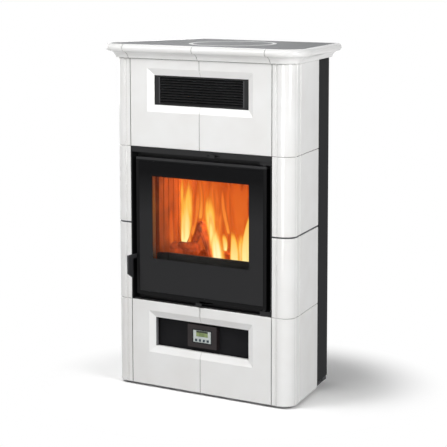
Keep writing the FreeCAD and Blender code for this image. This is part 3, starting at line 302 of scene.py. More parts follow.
def made_by(tree, name, sizes, instances, material):
    """Ends a Geometry Nodes tree, runs it on an empty mesh and keeps its result as a plain mesh."""
    real = add(tree, "GeometryNodeRealizeInstances", {"Geometry": instances})
    coated = add(tree, "GeometryNodeSetMaterial", {"Geometry": real, "Material": material})
    add(tree, "NodeGroupOutput", {"Geometry": coated})
    carrier = bpy.data.objects.new(name + "_carrier", bpy.data.meshes.new(name + "_carrier"))
    bpy.context.scene.collection.objects.link(carrier)
    modifier = carrier.modifiers.new("nodes", "NODES")
    modifier.node_group = tree
    sockets = {item.name: item.identifier for item in tree.interface.items_tree if item.in_out == "INPUT"}
    for title, value in sizes.items():
        modifier[sockets[title]] = value
    graph = bpy.context.evaluated_depsgraph_get()
    mesh = bpy.data.meshes.new_from_object(carrier.evaluated_get(graph), depsgraph=graph)
    carrier.modifiers.clear()
    bpy.data.objects.remove(carrier)
    return new_piece(name, mesh, material)


# Rows of screws: one up each side of the panel, two screws along its foot and three along its head.
screw_sizes = {"Head radius": 0.0055}
flange_thickness = 0.0012
hexagon_height = 0.0030
hexagon_share = 0.72
side_inset = 0.010
end_inset = 0.006
lowest_screw = 0.06
side_step = 0.262
foot_step = 0.20
head_step = 0.14
low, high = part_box("back_panel")
tree, given = start_tree("back_screws", screw_sizes)
places = add(tree, "GeometryNodeJoinGeometry")
for count, (x, z), (step_x, step_z) in ((5, (low[0] + side_inset, lowest_screw), (0, side_step)),
                                        (5, (high[0] - side_inset, lowest_screw), (0, side_step)),
                                        (2, (-foot_step / 2, low[2] + end_inset), (foot_step, 0)),
                                        (3, (-head_step, high[2] - end_inset), (head_step, 0))):
    row = add(tree, "GeometryNodeMeshLine", {"Count": count, "Start Location": (x, high[1], z),
                                             "Offset": (step_x, 0, step_z)})
    tree.links.new(row.outputs[0], places.inputs[0])
across = add(tree, "ShaderNodeMath", {0: given, 1: hexagon_share}, operation="MULTIPLY")
hexagon = add(tree, "GeometryNodeMeshCylinder", {"Vertices": 6, "Radius": across, "Depth": hexagon_height})
flange = add(tree, "GeometryNodeMeshCylinder", {"Vertices": 16, "Radius": given, "Depth": flange_thickness})
head = add(tree, "GeometryNodeJoinGeometry")
for part, height in ((hexagon, (flange_thickness + hexagon_height) / 2), (flange, flange_thickness / 2)):
    laid = add(tree, "GeometryNodeTransform", {"Geometry": part, "Translation": (0, 0, height)})
    tree.links.new(laid.outputs[0], head.inputs[0])
screws = add(tree, "GeometryNodeInstanceOnPoints", {"Points": places, "Instance": head,
                                                    "Rotation": (-math.pi / 2, 0, 0)})
back_screws = made_by(tree, "back_screws", screw_sizes, screws, zinc_screw)
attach(back_screws, "stove")

# The base and the inner frame are only primed: dull grey, cloudy where the primer lies thinner.
grey_primer, tree, place = start_finish("grey primed steel")
_, tint = mottle(tree, place, 14.0, 5.0, "#3C3D3F", "#4A4B4E")
end_finish(tree, add(tree, "ShaderNodeBsdfPrincipled", {"Base Color": tint, "Roughness": 0.7}))
dress(["base_plate", "inner_frame"], grey_primer)


# Galvanised ducts and blower
# Thin sheet dipped in zinc: cool grey with flat crystals a centimetre across, each a little lighter
# or darker than the next. The duct, the blower housing, its rotor and the air intake are folded of it.

spangle_size = 0.010
galvanised, tree, place = start_finish("galvanised sheet")
spangle = add(tree, "ShaderNodeTexVoronoi", {"Vector": place, "Scale": 1 / spangle_size})
tint = add(tree, "ShaderNodeValToRGB", {"Fac": spangle.outputs["Color"]},
           stops=[(0.2, "#8E9396"), (0.8, "#B4B9BC")])
gloss = add(tree, "ShaderNodeMapRange", {"Value": spangle, "To Min": 0.30, "To Max": 0.48})
end_finish(tree, add(tree, "ShaderNodeBsdfPrincipled", {
    "Base Color": tint, "Metallic": 0.9, "Roughness": gloss}))
dress(["outlet_duct", "blower_housing", "blower_rotor", "air_intake_collar"], galvanised)


# Turned and drawn steel
# Feet, handle pin, latch keeper, glass strips and the ash pan are bare steel, with the
# fine rings of the lathe or the lines of rolling, and a little dulled.

bare_steel, tree, place = start_finish("bare steel")
drawn = add(tree, "ShaderNodeMapping", {"Vector": place, "Scale": (1, 1, 30)})
lines, tint = mottle(tree, drawn, 60.0, 3.0, "#8C8A86", "#A9A7A3")
gloss = add(tree, "ShaderNodeMapRange", {"Value": lines, "To Min": 0.28, "To Max": 0.50})
end_finish(tree, add(tree, "ShaderNodeBsdfPrincipled", {
    "Base Color": tint, "Metallic": 1.0, "Roughness": gloss}))
dress(["levelling_feet", "handle_pin", "latch_keeper", "glass_strips", "ash_pan"], bare_steel)


# Door, surround, levers and grille
# Welded steel plate sprayed with matt black stove paint. The paint is dry and slightly sandy, and a
# thin grey line along the leaf's proud top rim is a painted highlight.

paint_grain_size = 0.0020
# The painted highlight along the leaf's top rim: its height, the blend at its foot and its tone.
rim_height = 0.008
rim_blend = 0.001
rim_highlight_tone = "#333334"


def stove_paint_finish(name, dark, light, shine=0.40, highlight_foot=None):
    """Matt paint in two close tones. Where a foot height is given, the paint above it is lighter: a painted
    highlight.
    """
    material, tree, place = start_finish(name)
    sandy = grain(tree, place, 1 / paint_grain_size, 3.0, 0.25, 0.0003)
    _, tint = mottle(tree, place, 7.0, 3.0, dark, light)
    if highlight_foot is not None:
        height = add(tree, "ShaderNodeSeparateXYZ", {"Vector": place}).outputs["Z"]
        painted_highlight = add(tree, "ShaderNodeMapRange", {"Value": height, "From Min": highlight_foot,
                                                  "From Max": highlight_foot + rim_blend})
        tint = add(tree, "ShaderNodeMix", {"Factor": painted_highlight, "A": tint, "B": rim_highlight_tone}, data_type="RGBA")
    end_finish(tree, add(tree, "ShaderNodeBsdfPrincipled", {
        "Base Color": tint, "Roughness": 0.50, "IOR": 1.40, "Specular IOR Level": shine, "Normal": sandy}))
    return material


dress(["door_surround", "primary_air_lever", "secondary_air_lever", "hinge_pins", "flue_collar",
       "air_grille", "blower_motor"], stove_paint_finish("matt black stove paint", "#101011", "#171718"))
dress(["door_frame"], stove_paint_finish("door paint with a painted highlight along its top rim", "#060607", "#0A0A0B", 0.16,
                                         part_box("door_frame")[1][2] - rim_height))
# The handle's paint is lighter than the rest: a painted highlight for the light on its side face.
dress(["handle_lever"], stove_paint_finish("handle paint, lightened as a painted highlight", "#2C2C2E", "#38383A"))


def shaped(name, shape, material):
    """Makes a piece from a bmesh."""
    mesh = bpy.data.meshes.new(name)
    shape.to_mesh(mesh)
    shape.free()
    return new_piece(name, mesh, material)


# The louvres end in a folded upright strip at each side, painted lighter as a painted highlight for the
# light it catches. A sheet cheek lines each end of the control niche, between the tile's edge and the panel
# behind; its mid grey is painted shade on the tile's inner edge.
strip_width = 0.013
strip_thickness = 0.0010
strip_from_side = 0.0095
strip_inset = 0.003
strip_gap = 0.0002
cheek_thickness = 0.0008
cheek_outer_face = 0.1919
cheek_front = -0.1937
cheek_inset = 0.0045
cheek_gap = 0.0003
edge_share = 0.4
# Painted highlight: the strips' paint is a lighter copy of the stove paint.
strip_painted_highlight = stove_paint_finish("grille end strip paint, painted highlight", "#3A3A3C", "#444446")
# Painted shade: the cheeks are mid grey, standing for the shade on the tile's inner edge.
cheek_painted_shade = stove_paint_finish("grey niche cheek paint, painted shade", "#7C7C7F", "#868689")
low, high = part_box("air_grille")
niche_low, niche_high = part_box("niche_panel")
cheek_depth = niche_low[1] - cheek_front - cheek_gap
sheets = (("grille_end_strip", strip_painted_highlight,
           (high[0] - strip_from_side - strip_width / 2, low[1] + strip_thickness / 2 + strip_gap,
            (low[2] + high[2]) / 2),
           (strip_width, strip_thickness, high[2] - low[2] - 2 * strip_inset)),
          ("niche_cheek", cheek_painted_shade,
           (cheek_outer_face - cheek_thickness / 2, cheek_front + cheek_depth / 2,
            (niche_low[2] + niche_high[2]) / 2),
           (cheek_thickness, cheek_depth, niche_high[2] - niche_low[2] - 2 * cheek_inset)))
for side, end in ((-1, "_left"), (1, "_right")):
    for name, paint, (x, y, z), size in sheets:
        shape = bmesh.new()
        bmesh.ops.create_cube(shape, size=1.0, matrix=Matrix.Translation((side * x, y, z))
                              @ Matrix.Diagonal((*size, 1)))
        bmesh.ops.bevel(shape, geom=shape.edges[:], offset=min(size) * edge_share, segments=2, affect="EDGES")
        piece = shaped(name + end, shape, paint)
        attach(piece, "stove")


# Pane
# One flat sheet of glass ceramic across the whole door. It is printed black except for the window in
# the middle, so the edge of the leaf is hidden. The mirror image of the white room is faint in it, so
# the glass has a low index of refraction and the print, fired onto its face, has hardly any gloss.

clear_glass, tree, place = start_finish("clear glass ceramic")
haze = add(tree, "ShaderNodeTexNoise", {"Vector": place, "Scale": 5.0, "Detail": 2.0})
gloss = add(tree, "ShaderNodeMapRange", {"Value": haze, "To Min": 0.0, "To Max": 0.02})
glass = add(tree, "ShaderNodeBsdfPrincipled", {
    "Base Color": "#FCFAF6", "Roughness": gloss, "IOR": 1.10, "Transmission Weight": 1.0})
rays = add(tree, "ShaderNodeLightPath")
passing = add(tree, "ShaderNodeBsdfTransparent", {"Color": "#A0A0A0"})
end_finish(tree, add(tree, "ShaderNodeMixShader", {0: rays.outputs["Is Shadow Ray"], 1: glass, 2: passing}))
dress(["door_glass"], clear_glass)

window_half_width = 0.198
window_bottom = 0.452
window_top = 0.734
print_inset = 0.0003
low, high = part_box("door_glass")
black_print, tree, place = start_finish("fired black screen print with a painted reflection")
level = add(tree, "ShaderNodeSeparateXYZ", {"Vector": place}).outputs["Z"]
height = add(tree, "ShaderNodeMapRange", {"Value": level, "From Min": low[2], "From Max": high[2]})
# Painted reflection: the print is lighter towards its foot, standing for the white floor mirrored in the
# glass.
tint = add(tree, "ShaderNodeValToRGB", {"Fac": height},
           stops=[(0.0, "#373738"), (0.60, "#333334"), (0.92, "#1B1B1C")])
end_finish(tree, add(tree, "ShaderNodeBsdfPrincipled", {
    "Base Color": tint, "Roughness": 0.35, "Specular IOR Level": 0.0}))
print_depth = low[1] - print_inset
inset = Vector((print_inset, 0, print_inset))
low, high = low + inset, high - inset
outer = [(low[0], low[2]), (high[0], low[2]), (high[0], high[2]), (low[0], high[2])]
inner = [(-window_half_width, window_bottom), (window_half_width, window_bottom),
         (window_half_width, window_top), (-window_half_width, window_top)]
mesh = bpy.data.meshes.new("pane_print")
mesh.from_pydata([(x, print_depth, z) for x, z in outer + inner], [],
                 [(a, (a + 1) % 4, (a + 1) % 4 + 4, a + 4) for a in range(4)])
pane_print = new_piece("pane_print", mesh, black_print)
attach(pane_print, "fire_door")


# Rope seal
# A rope of glass fibre, dark grey and matt: three knitted strands laid round each other and glued in
# the groove round the leaf's window. Slanting waves, one every 15 mm, give the knitting.

yarn_wave_span = 0.024
rope, tree, place = start_finish("knitted glass rope")
yarns = add(tree, "ShaderNodeTexWave", {"Vector": place, "Scale": 1 / yarn_wave_span, "Distortion": 1.5},
            bands_direction="DIAGONAL").outputs["Fac"]
bump = add(tree, "ShaderNodeBump", {"Height": yarns, "Strength": 0.8, "Distance": 0.001})
tint = add(tree, "ShaderNodeValToRGB", {"Fac": yarns}, stops=[(0.2, "#2E2E2F"), (0.8, "#5C5C5D")])
end_finish(tree, add(tree, "ShaderNodeBsdfPrincipled", {
    "Base Color": tint, "Roughness": 0.9, "Normal": bump}))

rope_radius = 0.005
strand_offset = rope_radius * 0.46
strand_radius = rope_radius * 0.54
turn_radius = 0.018
lay_length = 0.022
strand_count = 3
steps_per_lay = 9
strand_sides = 6
low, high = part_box("door_seal")
centre_x, depth, centre_z = (low + high) / 2
half_x = (high[0] - low[0]) / 2 - rope_radius - turn_radius
half_z = (high[2] - low[2]) / 2 - rope_radius - turn_radius
quarter = math.pi * turn_radius / 2
stretches = [2 * half_z, quarter, 2 * half_x, quarter, 2 * half_z, quarter, 2 * half_x, quarter]
around = sum(stretches)
inwards = Vector((0, 1, 0))


def on_groove(distance):
    """Point of the groove's centre line at a distance along it, and its outward direction."""
    for number, length in enumerate(stretches):
        if distance <= length:
            break
        distance -= length
    corner_x = (1, 1, 1, -1, -1, -1, -1, 1)[number] * half_x
    corner_z = (-1, 1, 1, 1, 1, -1, -1, -1)[number] * half_z
    angle = number // 2 * math.pi / 2
    if number % 2 == 0:
        run = Vector((-math.sin(angle), 0, math.cos(angle))) * distance
    else:
        angle += distance / turn_radius
        run = Vector((0, 0, 0))
    out = Vector((math.cos(angle), 0, math.sin(angle)))
    return Vector((centre_x + corner_x, depth, centre_z + corner_z)) + run + out * turn_radius, out


lays = round(around / lay_length)
steps = lays * steps_per_lay
corners, faces = [], []
for strand in range(strand_count):
    first = len(corners)
    for step in range(steps):
        middle, out = on_groove(around * step / steps)
        twist = math.tau * (step * lays / steps + strand / strand_count)
        heart = middle + (math.cos(twist) * out + math.sin(twist) * inwards) * strand_offset
        for side in range(strand_sides):
            turn = math.tau * side / strand_sides
            corners.append(heart + (math.cos(turn) * out + math.sin(turn) * inwards) * strand_radius)
    for step in range(steps):
        after = (step + 1) % steps
        for side in range(strand_sides):
            beside = (side + 1) % strand_sides
            faces.append([first + row * strand_sides + column for row, column in
                          ((step, side), (after, side), (after, beside), (step, beside))])
mesh = bpy.data.meshes.new("rope_seal")
mesh.from_pydata(corners, [], faces)
mesh.shade_smooth()
rope_seal = new_piece("rope_seal", mesh, rope)
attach(rope_seal, "fire_door")
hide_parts("door_seal")


# Lining, hearth and log guard
# The lining is pressed vermiculite, sandy and soft and browned by the fire; painted firelight makes
# it glow dull orange, most towards the back. Its slabs stand on the hearth plate, and the baffle lies on
# them.

firelight_clear = 0.003
firelight_full = 0.001
lining_low, lining_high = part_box("lining_left")
vermiculite, tree, place = start_finish("sooted vermiculite")
flakes = grain(tree, place, 260.0, 4.0, 0.5, 0.001)
cloud, tint = mottle(tree, place, 12.0, 5.0, "#4E2C16", "#6E4222")
# Painted firelight: the inner faces give off a dull orange light, warmer towards the back.
position = add(tree, "ShaderNodeSeparateXYZ", {"Vector": place})
behind, level = position.outputs["Y"], position.outputs["Z"]
inward = add(tree, "ShaderNodeMapRange", {"Value": behind, "From Min": lining_low[1],
                                          "From Max": lining_high[1]})
flicker = add(tree, "ShaderNodeMath", {0: cloud, 1: 0.5, 2: -0.25}, operation="MULTIPLY_ADD")
firelight_warmth = add(tree, "ShaderNodeMath", {0: inward, 1: flicker}, operation="ADD")
glowing = add(tree, "ShaderNodeValToRGB", {"Fac": firelight_warmth},
              stops=[(0.0, "#541A08"), (0.45, "#B44A1A"), (0.9, "#D8622A")])
inner = add(tree, "ShaderNodeMapRange", {"Value": behind, "From Min": lining_high[1] + firelight_clear,
                                         "From Max": lining_high[1] + firelight_full})
below = add(tree, "ShaderNodeMapRange", {"Value": level, "From Min": lining_high[2] + firelight_clear,
                                         "From Max": lining_high[2] + firelight_full, "To Max": 0.75})
painted_firelight = add(tree, "ShaderNodeMath", {0: inner, 1: below}, operation="MULTIPLY")
end_finish(tree, add(tree, "ShaderNodeBsdfPrincipled", {
    "Base Color": tint, "Roughness": 0.95, "Normal": flakes, "Emission Color": glowing,
    "Emission Strength": painted_firelight}))
dress(["lining_back", "lining_left", "lining_right", "baffle"], vermiculite)

# The hearth plate, the grate and the log guard are grey cast iron, rough from the sand mould.
cast_iron, tree, place = start_finish("sand cast iron")
sand, tint = mottle(tree, place, 420.0, 3.0, "#0E0E0E", "#191818")
bump = add(tree, "ShaderNodeBump", {"Height": sand, "Strength": 0.6, "Distance": 0.0008})
end_finish(tree, add(tree, "ShaderNodeBsdfPrincipled", {
    "Base Color": tint, "Roughness": 0.72, "Specular IOR Level": 0.2, "Normal": bump}))
dress(["hearth_plate", "grate", "log_guard"], cast_iron)

# A cast angle holds each end of the guard. It covers the guard's rounded shoulder and runs forward.
angle_thickness = 0.0035
angle_width = 0.040
angle_reach = 0.016
angle_edge = 0.0008
slack = 0.0003
low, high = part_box("log_guard")
back = low[1] - slack
outside = high[0] - slack
outline = [(outside, back - angle_reach), (outside - angle_thickness, back - angle_reach),
           (outside - angle_thickness, back - angle_thickness),
           (outside - angle_width, back - angle_thickness), (outside - angle_width, back), (outside, back)]
for side, name in ((-1, "guard_angle_left"), (1, "guard_angle_right")):
    shape = bmesh.new()
    foot, top = ([shape.verts.new((side * x, y, z)) for x, y in outline[::side]]
                 for z in (low[2] + slack, high[2] - slack))
    shape.faces.new(foot)
    shape.faces.new(top[::-1])
    for corner in range(-1, len(outline) - 1):
        shape.faces.new((foot[corner + 1], foot[corner], top[corner], top[corner + 1]))
    shape.normal_update()
    bmesh.ops.bevel(shape, geom=shape.edges[:], offset=angle_edge, segments=2, affect="EDGES")
    piece = shaped(name, shape, cast_iron)
    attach(piece, "stove")


# Firebox
# Welded boiler plate, left bare inside, where the heat has scaled it reddish brown. Above the baffle
# it is black with soot, and in front of the lining painted firelight makes it glow a dull red.

scale_size = 0.012
firelight_rise = 0.03
firelight_depth = 0.02
hearth_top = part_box("hearth_plate")[1][2]
baffle_low, baffle_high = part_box("baffle")
scaled_steel, tree, place = start_finish("heat scaled steel plate")
scale, rust = mottle(tree, place, 1 / scale_size, 4.0, "#3A1408", "#4E1E10")
bump = add(tree, "ShaderNodeBump", {"Height": scale, "Strength": 0.4, "Distance": 0.0006})
position = add(tree, "ShaderNodeSeparateXYZ", {"Vector": place})
behind, level = position.outputs["Y"], position.outputs["Z"]
sooted = add(tree, "ShaderNodeMapRange", {"Value": level, "From Min": baffle_low[2],
                                          "From Max": baffle_high[2]})
tint = add(tree, "ShaderNodeMix", {"Factor": sooted, "A": rust, "B": "#12100F"}, data_type="RGBA")
# Painted firelight: a dull red light low on the walls, just in front of the lining.
above = add(tree, "ShaderNodeMapRange", {"Value": level, "From Min": hearth_top,
                                         "From Max": hearth_top + firelight_rise, "To Max": 0.7})
ahead = add(tree, "ShaderNodeMapRange", {"Value": behind, "From Min": lining_low[1],
                                         "From Max": lining_low[1] - firelight_depth})
painted_firelight_red = add(tree, "ShaderNodeMath", {0: above, 1: ahead}, operation="MULTIPLY")
end_finish(tree, add(tree, "ShaderNodeBsdfPrincipled", {
    "Base Color": tint, "Roughness": 0.8, "Specular IOR Level": 0.1, "Normal": bump,
    "Emission Color": "#7A2C12", "Emission Strength": painted_firelight_red}))
dress(["firebox"], scaled_steel)


# Logs and embers
# Split beech billets, some lying behind the guard and three stood up against each other, charred
# and glowing in their cracks, on a bed of broken charcoal.

char_crack_size = 0.020
charred_wood, tree, place = start_finish("charred beech with glowing cracks")
along = add(tree, "ShaderNodeMapping", {"Vector": place, "Scale": (1.6, 1.6, 0.7)})
cracks = add(tree, "ShaderNodeTexVoronoi", {"Vector": along, "Scale": 1 / char_crack_size},
             feature="DISTANCE_TO_EDGE")
bump = add(tree, "ShaderNodeBump", {"Height": cracks, "Strength": 0.5, "Distance": 0.003})
patches, tint = mottle(tree, place, 34.0, 3.0, "#35190B", "#673216", (0.35, 0.65))
heat = add(tree, "ShaderNodeMapRange", {"Value": cracks, "From Min": 0.0, "From Max": 0.30,
                                        "To Min": 0.55, "To Max": 0.28})
glowing = add(tree, "ShaderNodeMath", {0: heat, 1: patches}, operation="MULTIPLY")
end_finish(tree, add(tree, "ShaderNodeBsdfPrincipled", {
    "Base Color": tint, "Roughness": 0.95, "Normal": bump, "Emission Color": "#F0581A",
    "Emission Strength": glowing}))


def billet(name, start, end, radius, seed):
    """A split log from start to end: a rough three-cornered bar with broken ends."""
    rough = random.Random(seed)
    start, end = Vector(start), Vector(end)
    lie = (end - start).to_track_quat("Z", "Y")
    sides, rings = 18, 12
    end_share = 0.55
    bow = [rough.uniform(0.88, 1.08) for _ in range(rings)]
    split = [radius * (0.80 + 0.20 * math.cos(3 * 2 * math.pi * n / sides) + rough.uniform(-0.04, 0.04))
             for n in range(sides)]
    shape = bmesh.new()
    loops = []
    for ring in range(rings):
        middle = start.lerp(end, ring / (rings - 1))
        blunt = end_share if ring in (0, rings - 1) else 1.0
        loops.append([shape.verts.new(middle + lie @ Vector((
            split[n] * bow[ring] * blunt * math.cos(2 * math.pi * n / sides),
            split[n] * bow[ring] * blunt * math.sin(2 * math.pi * n / sides), 0)))
            for n in range(sides)])
    for below, above in zip(loops, loops[1:]):
        for n in range(sides):
            m = (n + 1) % sides
            shape.faces.new((below[n], below[m], above[m], above[n]))
    shape.faces.new(list(reversed(loops[0])))
    shape.faces.new(loops[-1])
    piece = shaped(name, shape, charred_wood)
    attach(piece, "stove")


# Each log: its two ends, the radius of its round side and the seed of its roughness.
lying = hearth_top + 0.031
for name, start, end, radius, seed in (
        ("log_lying_front", (-0.195, -0.112, lying), (0.030, -0.100, lying), 0.030, 3),
        ("log_lying_rear", (-0.185, 0.045, lying), (0.190, 0.060, lying), 0.032, 5),
        ("log_left", (-0.190, -0.112, hearth_top + 0.080), (-0.100, -0.060, hearth_top + 0.078), 0.028, 7),
        ("log_stood_left", (-0.176, -0.048, hearth_top + 0.040), (-0.094, -0.046, 0.566), 0.022, 13),
        ("log_stood_right", (-0.040, -0.056, hearth_top + 0.040), (-0.100, -0.058, 0.560), 0.022, 17),
        ("log_stood_rear", (-0.100, 0.035, hearth_top + 0.060), (-0.100, -0.020, 0.552), 0.030, 19)):
    billet(name, start, end, radius, seed)

# Charcoal: black and grey, with orange where the air reaches it.
ember_bed, tree, place = start_finish("glowing charcoal")
spots, tint = mottle(tree, place, 70.0, 3.0, "#1A1412", "#7A6A60", (0.40, 0.62))
heat = add(tree, "ShaderNodeValToRGB", {"Fac": spots},
           stops=[(0.42, "#FF7A22"), (0.56, "#5A1404"), (0.66, "#000000")])
end_finish(tree, add(tree, "ShaderNodeBsdfPrincipled", {
    "Base Color": tint, "Roughness": 0.95, "Emission Color": heat, "Emission Strength": 0.9}))

ember_sizes = {"Lump size": 0.011, "Seed": 4}
ember_rows = (26, 16)
ember_shift = ((-0.011, -0.011, -0.003), (0.011, 0.011, 0.007))
any_turn = ((0, 0, 0), (6.3, 6.3, 6.3))
flat_lumps = ((0.5, 0.5, 0.35), (1.1, 0.9, 0.7))
low, high = (-0.195, -0.130, hearth_top), (0.195, 0.095, hearth_top)
tree, given = start_tree("ember_bed", ember_sizes)
shift, turn, scale = (
    add(tree, "FunctionNodeRandomValue", {0: least, 1: most, "Seed": given.outputs["Seed"]},
        data_type="FLOAT_VECTOR") for least, most in (ember_shift, any_turn, flat_lumps))
grid = add(tree, "GeometryNodeMeshGrid", {"Size X": high[0] - low[0], "Size Y": high[1] - low[1],
                                          "Vertices X": ember_rows[0], "Vertices Y": ember_rows[1]})
strewn = add(tree, "GeometryNodeSetPosition", {"Geometry": grid, "Offset": shift})
bed = add(tree, "GeometryNodeTransform", {"Geometry": strewn, "Translation": (
    (low[0] + high[0]) / 2, (low[1] + high[1]) / 2, low[2] + ember_sizes["Lump size"] / 2)})
lump = add(tree, "GeometryNodeMeshIcoSphere", {"Radius": given.outputs["Lump size"], "Subdivisions": 1})
lumps = add(tree, "GeometryNodeInstanceOnPoints", {"Points": bed, "Instance": lump, "Rotation": turn,
                                                   "Scale": scale})
embers = made_by(tree, "ember_bed", ember_sizes, lumps, ember_bed)
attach(embers, "stove")


# Flames
# Burning wood gas between the logs: soft upright tongues, pale yellow and hottest low in the middle,
# orange at their edges. Behind them and along the left wall, dim orange sheets are painted firelight on
# the lining. Each is a thin curved sheet that shines and fades out at its edges.

def flame_finish(name, core, middle, edge, strength, streak_width, cover=1.0):
    """Light that fades at the sheet's edges. The sheet's UV runs across it and up it."""
    material, tree, place = start_finish(name)
    sheet = add(tree, "ShaderNodeSeparateXYZ", {"Vector": add(tree, "ShaderNodeTexCoord").outputs["UV"]})
    across, rising = sheet.outputs["X"], sheet.outputs["Y"]
    stretched = add(tree, "ShaderNodeMapping", {"Vector": place, "Scale": (1, 1, 0.16)})
    streaks = add(tree, "ShaderNodeTexNoise", {"Vector": stretched, "Scale": 1 / streak_width,
                                               "Detail": 2.0, "Distortion": 0.6})
    aside = add(tree, "ShaderNodeMath", {0: across, 1: 0.5}, operation="SUBTRACT")
    away = add(tree, "ShaderNodeMath", {0: aside}, operation="ABSOLUTE")
    inside, low_end, high_end = (
        add(tree, "ShaderNodeMapRange", {"Value": value, "From Min": clear_at, "From Max": full_at},
            interpolation_type="SMOOTHSTEP")
        for value, clear_at, full_at in ((away, 0.5, 0.12), (rising, 0.0, 0.12), (rising, 1.0, 0.62)))
    body = add(tree, "ShaderNodeMath", {0: inside, 1: low_end}, operation="MULTIPLY")
    thick = add(tree, "ShaderNodeMath", {0: body, 1: high_end}, operation="MULTIPLY")
    torn = add(tree, "ShaderNodeMapRange", {"Value": streaks, "From Min": 0.30, "From Max": 0.62,
                                            "To Min": 0.35, "To Max": 1.25})
    heat = add(tree, "ShaderNodeMath", {0: thick, 1: torn}, operation="MULTIPLY", use_clamp=True)
    cooling = add(tree, "ShaderNodeMapRange", {"Value": rising, "To Min": 1.0, "To Max": 0.35})
    shade = add(tree, "ShaderNodeMath", {0: heat, 1: cooling}, operation="MULTIPLY")
    tint = add(tree, "ShaderNodeValToRGB", {"Fac": shade}, stops=[(0.10, edge), (0.50, middle), (0.92, core)])
    light = add(tree, "ShaderNodeEmission", {"Color": tint, "Strength": strength})
    clear = add(tree, "ShaderNodeBsdfTransparent")
    seen = add(tree, "ShaderNodeMapRange", {"Value": heat, "From Min": 0.02, "From Max": 0.75,
                                            "To Max": cover})
    end_finish(tree, add(tree, "ShaderNodeMixShader", {0: seen, 1: clear, 2: light}))
    return material


bright_flame = flame_finish("bright wood flame", "#FFF0A6", "#FBBB48", "#E8701E", 1.1, 0.030)
white_hot_flame = flame_finish("hottest wood flame", "#FFF6CC", "#FDD878", "#F08A2C", 1.15, 0.030)
amber_flame = flame_finish("amber wood flame", "#F79A3C", "#E8742A", "#C8501A", 1.05, 0.026)
painted_firelight_glow = flame_finish("deep orange painted firelight", "#EC7428", "#DA5F20", "#B84416", 1.05, 0.034)
thin_flame = flame_finish("thin orange flame", "#F08038", "#E4642A", "#C24A1C", 1.0, 0.030, 0.6)


def tongue(name, spine, depth, cup, finish):
    """A flame sheet along a spine of (x, z, half width), bent like a leaf across its width."""
    columns = 7
    corners = []
    for x, z, half in spine:
        for column in range(columns):
            across = 2 * column / (columns - 1) - 1
            corners.append((x + across * half, depth + cup * across * across, z))
    faces = [(row * columns + c, row * columns + c + 1, (row + 1) * columns + c + 1, (row + 1) * columns + c)
             for row in range(len(spine) - 1) for c in range(columns - 1)]
    mesh = bpy.data.meshes.new(name)
    mesh.from_pydata(corners, [], faces)
    layer = mesh.uv_layers.new(name="sheet")
    for loop in mesh.loops:
        row, column = divmod(loop.vertex_index, columns)
        layer.data[loop.index].uv = (column / (columns - 1), row / (len(spine) - 1))
    piece = new_piece(name, mesh, finish)
    smooth = piece.modifiers.new("smooth", "SUBSURF")
    smooth.levels = smooth.render_levels = 2
    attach(piece, "stove")
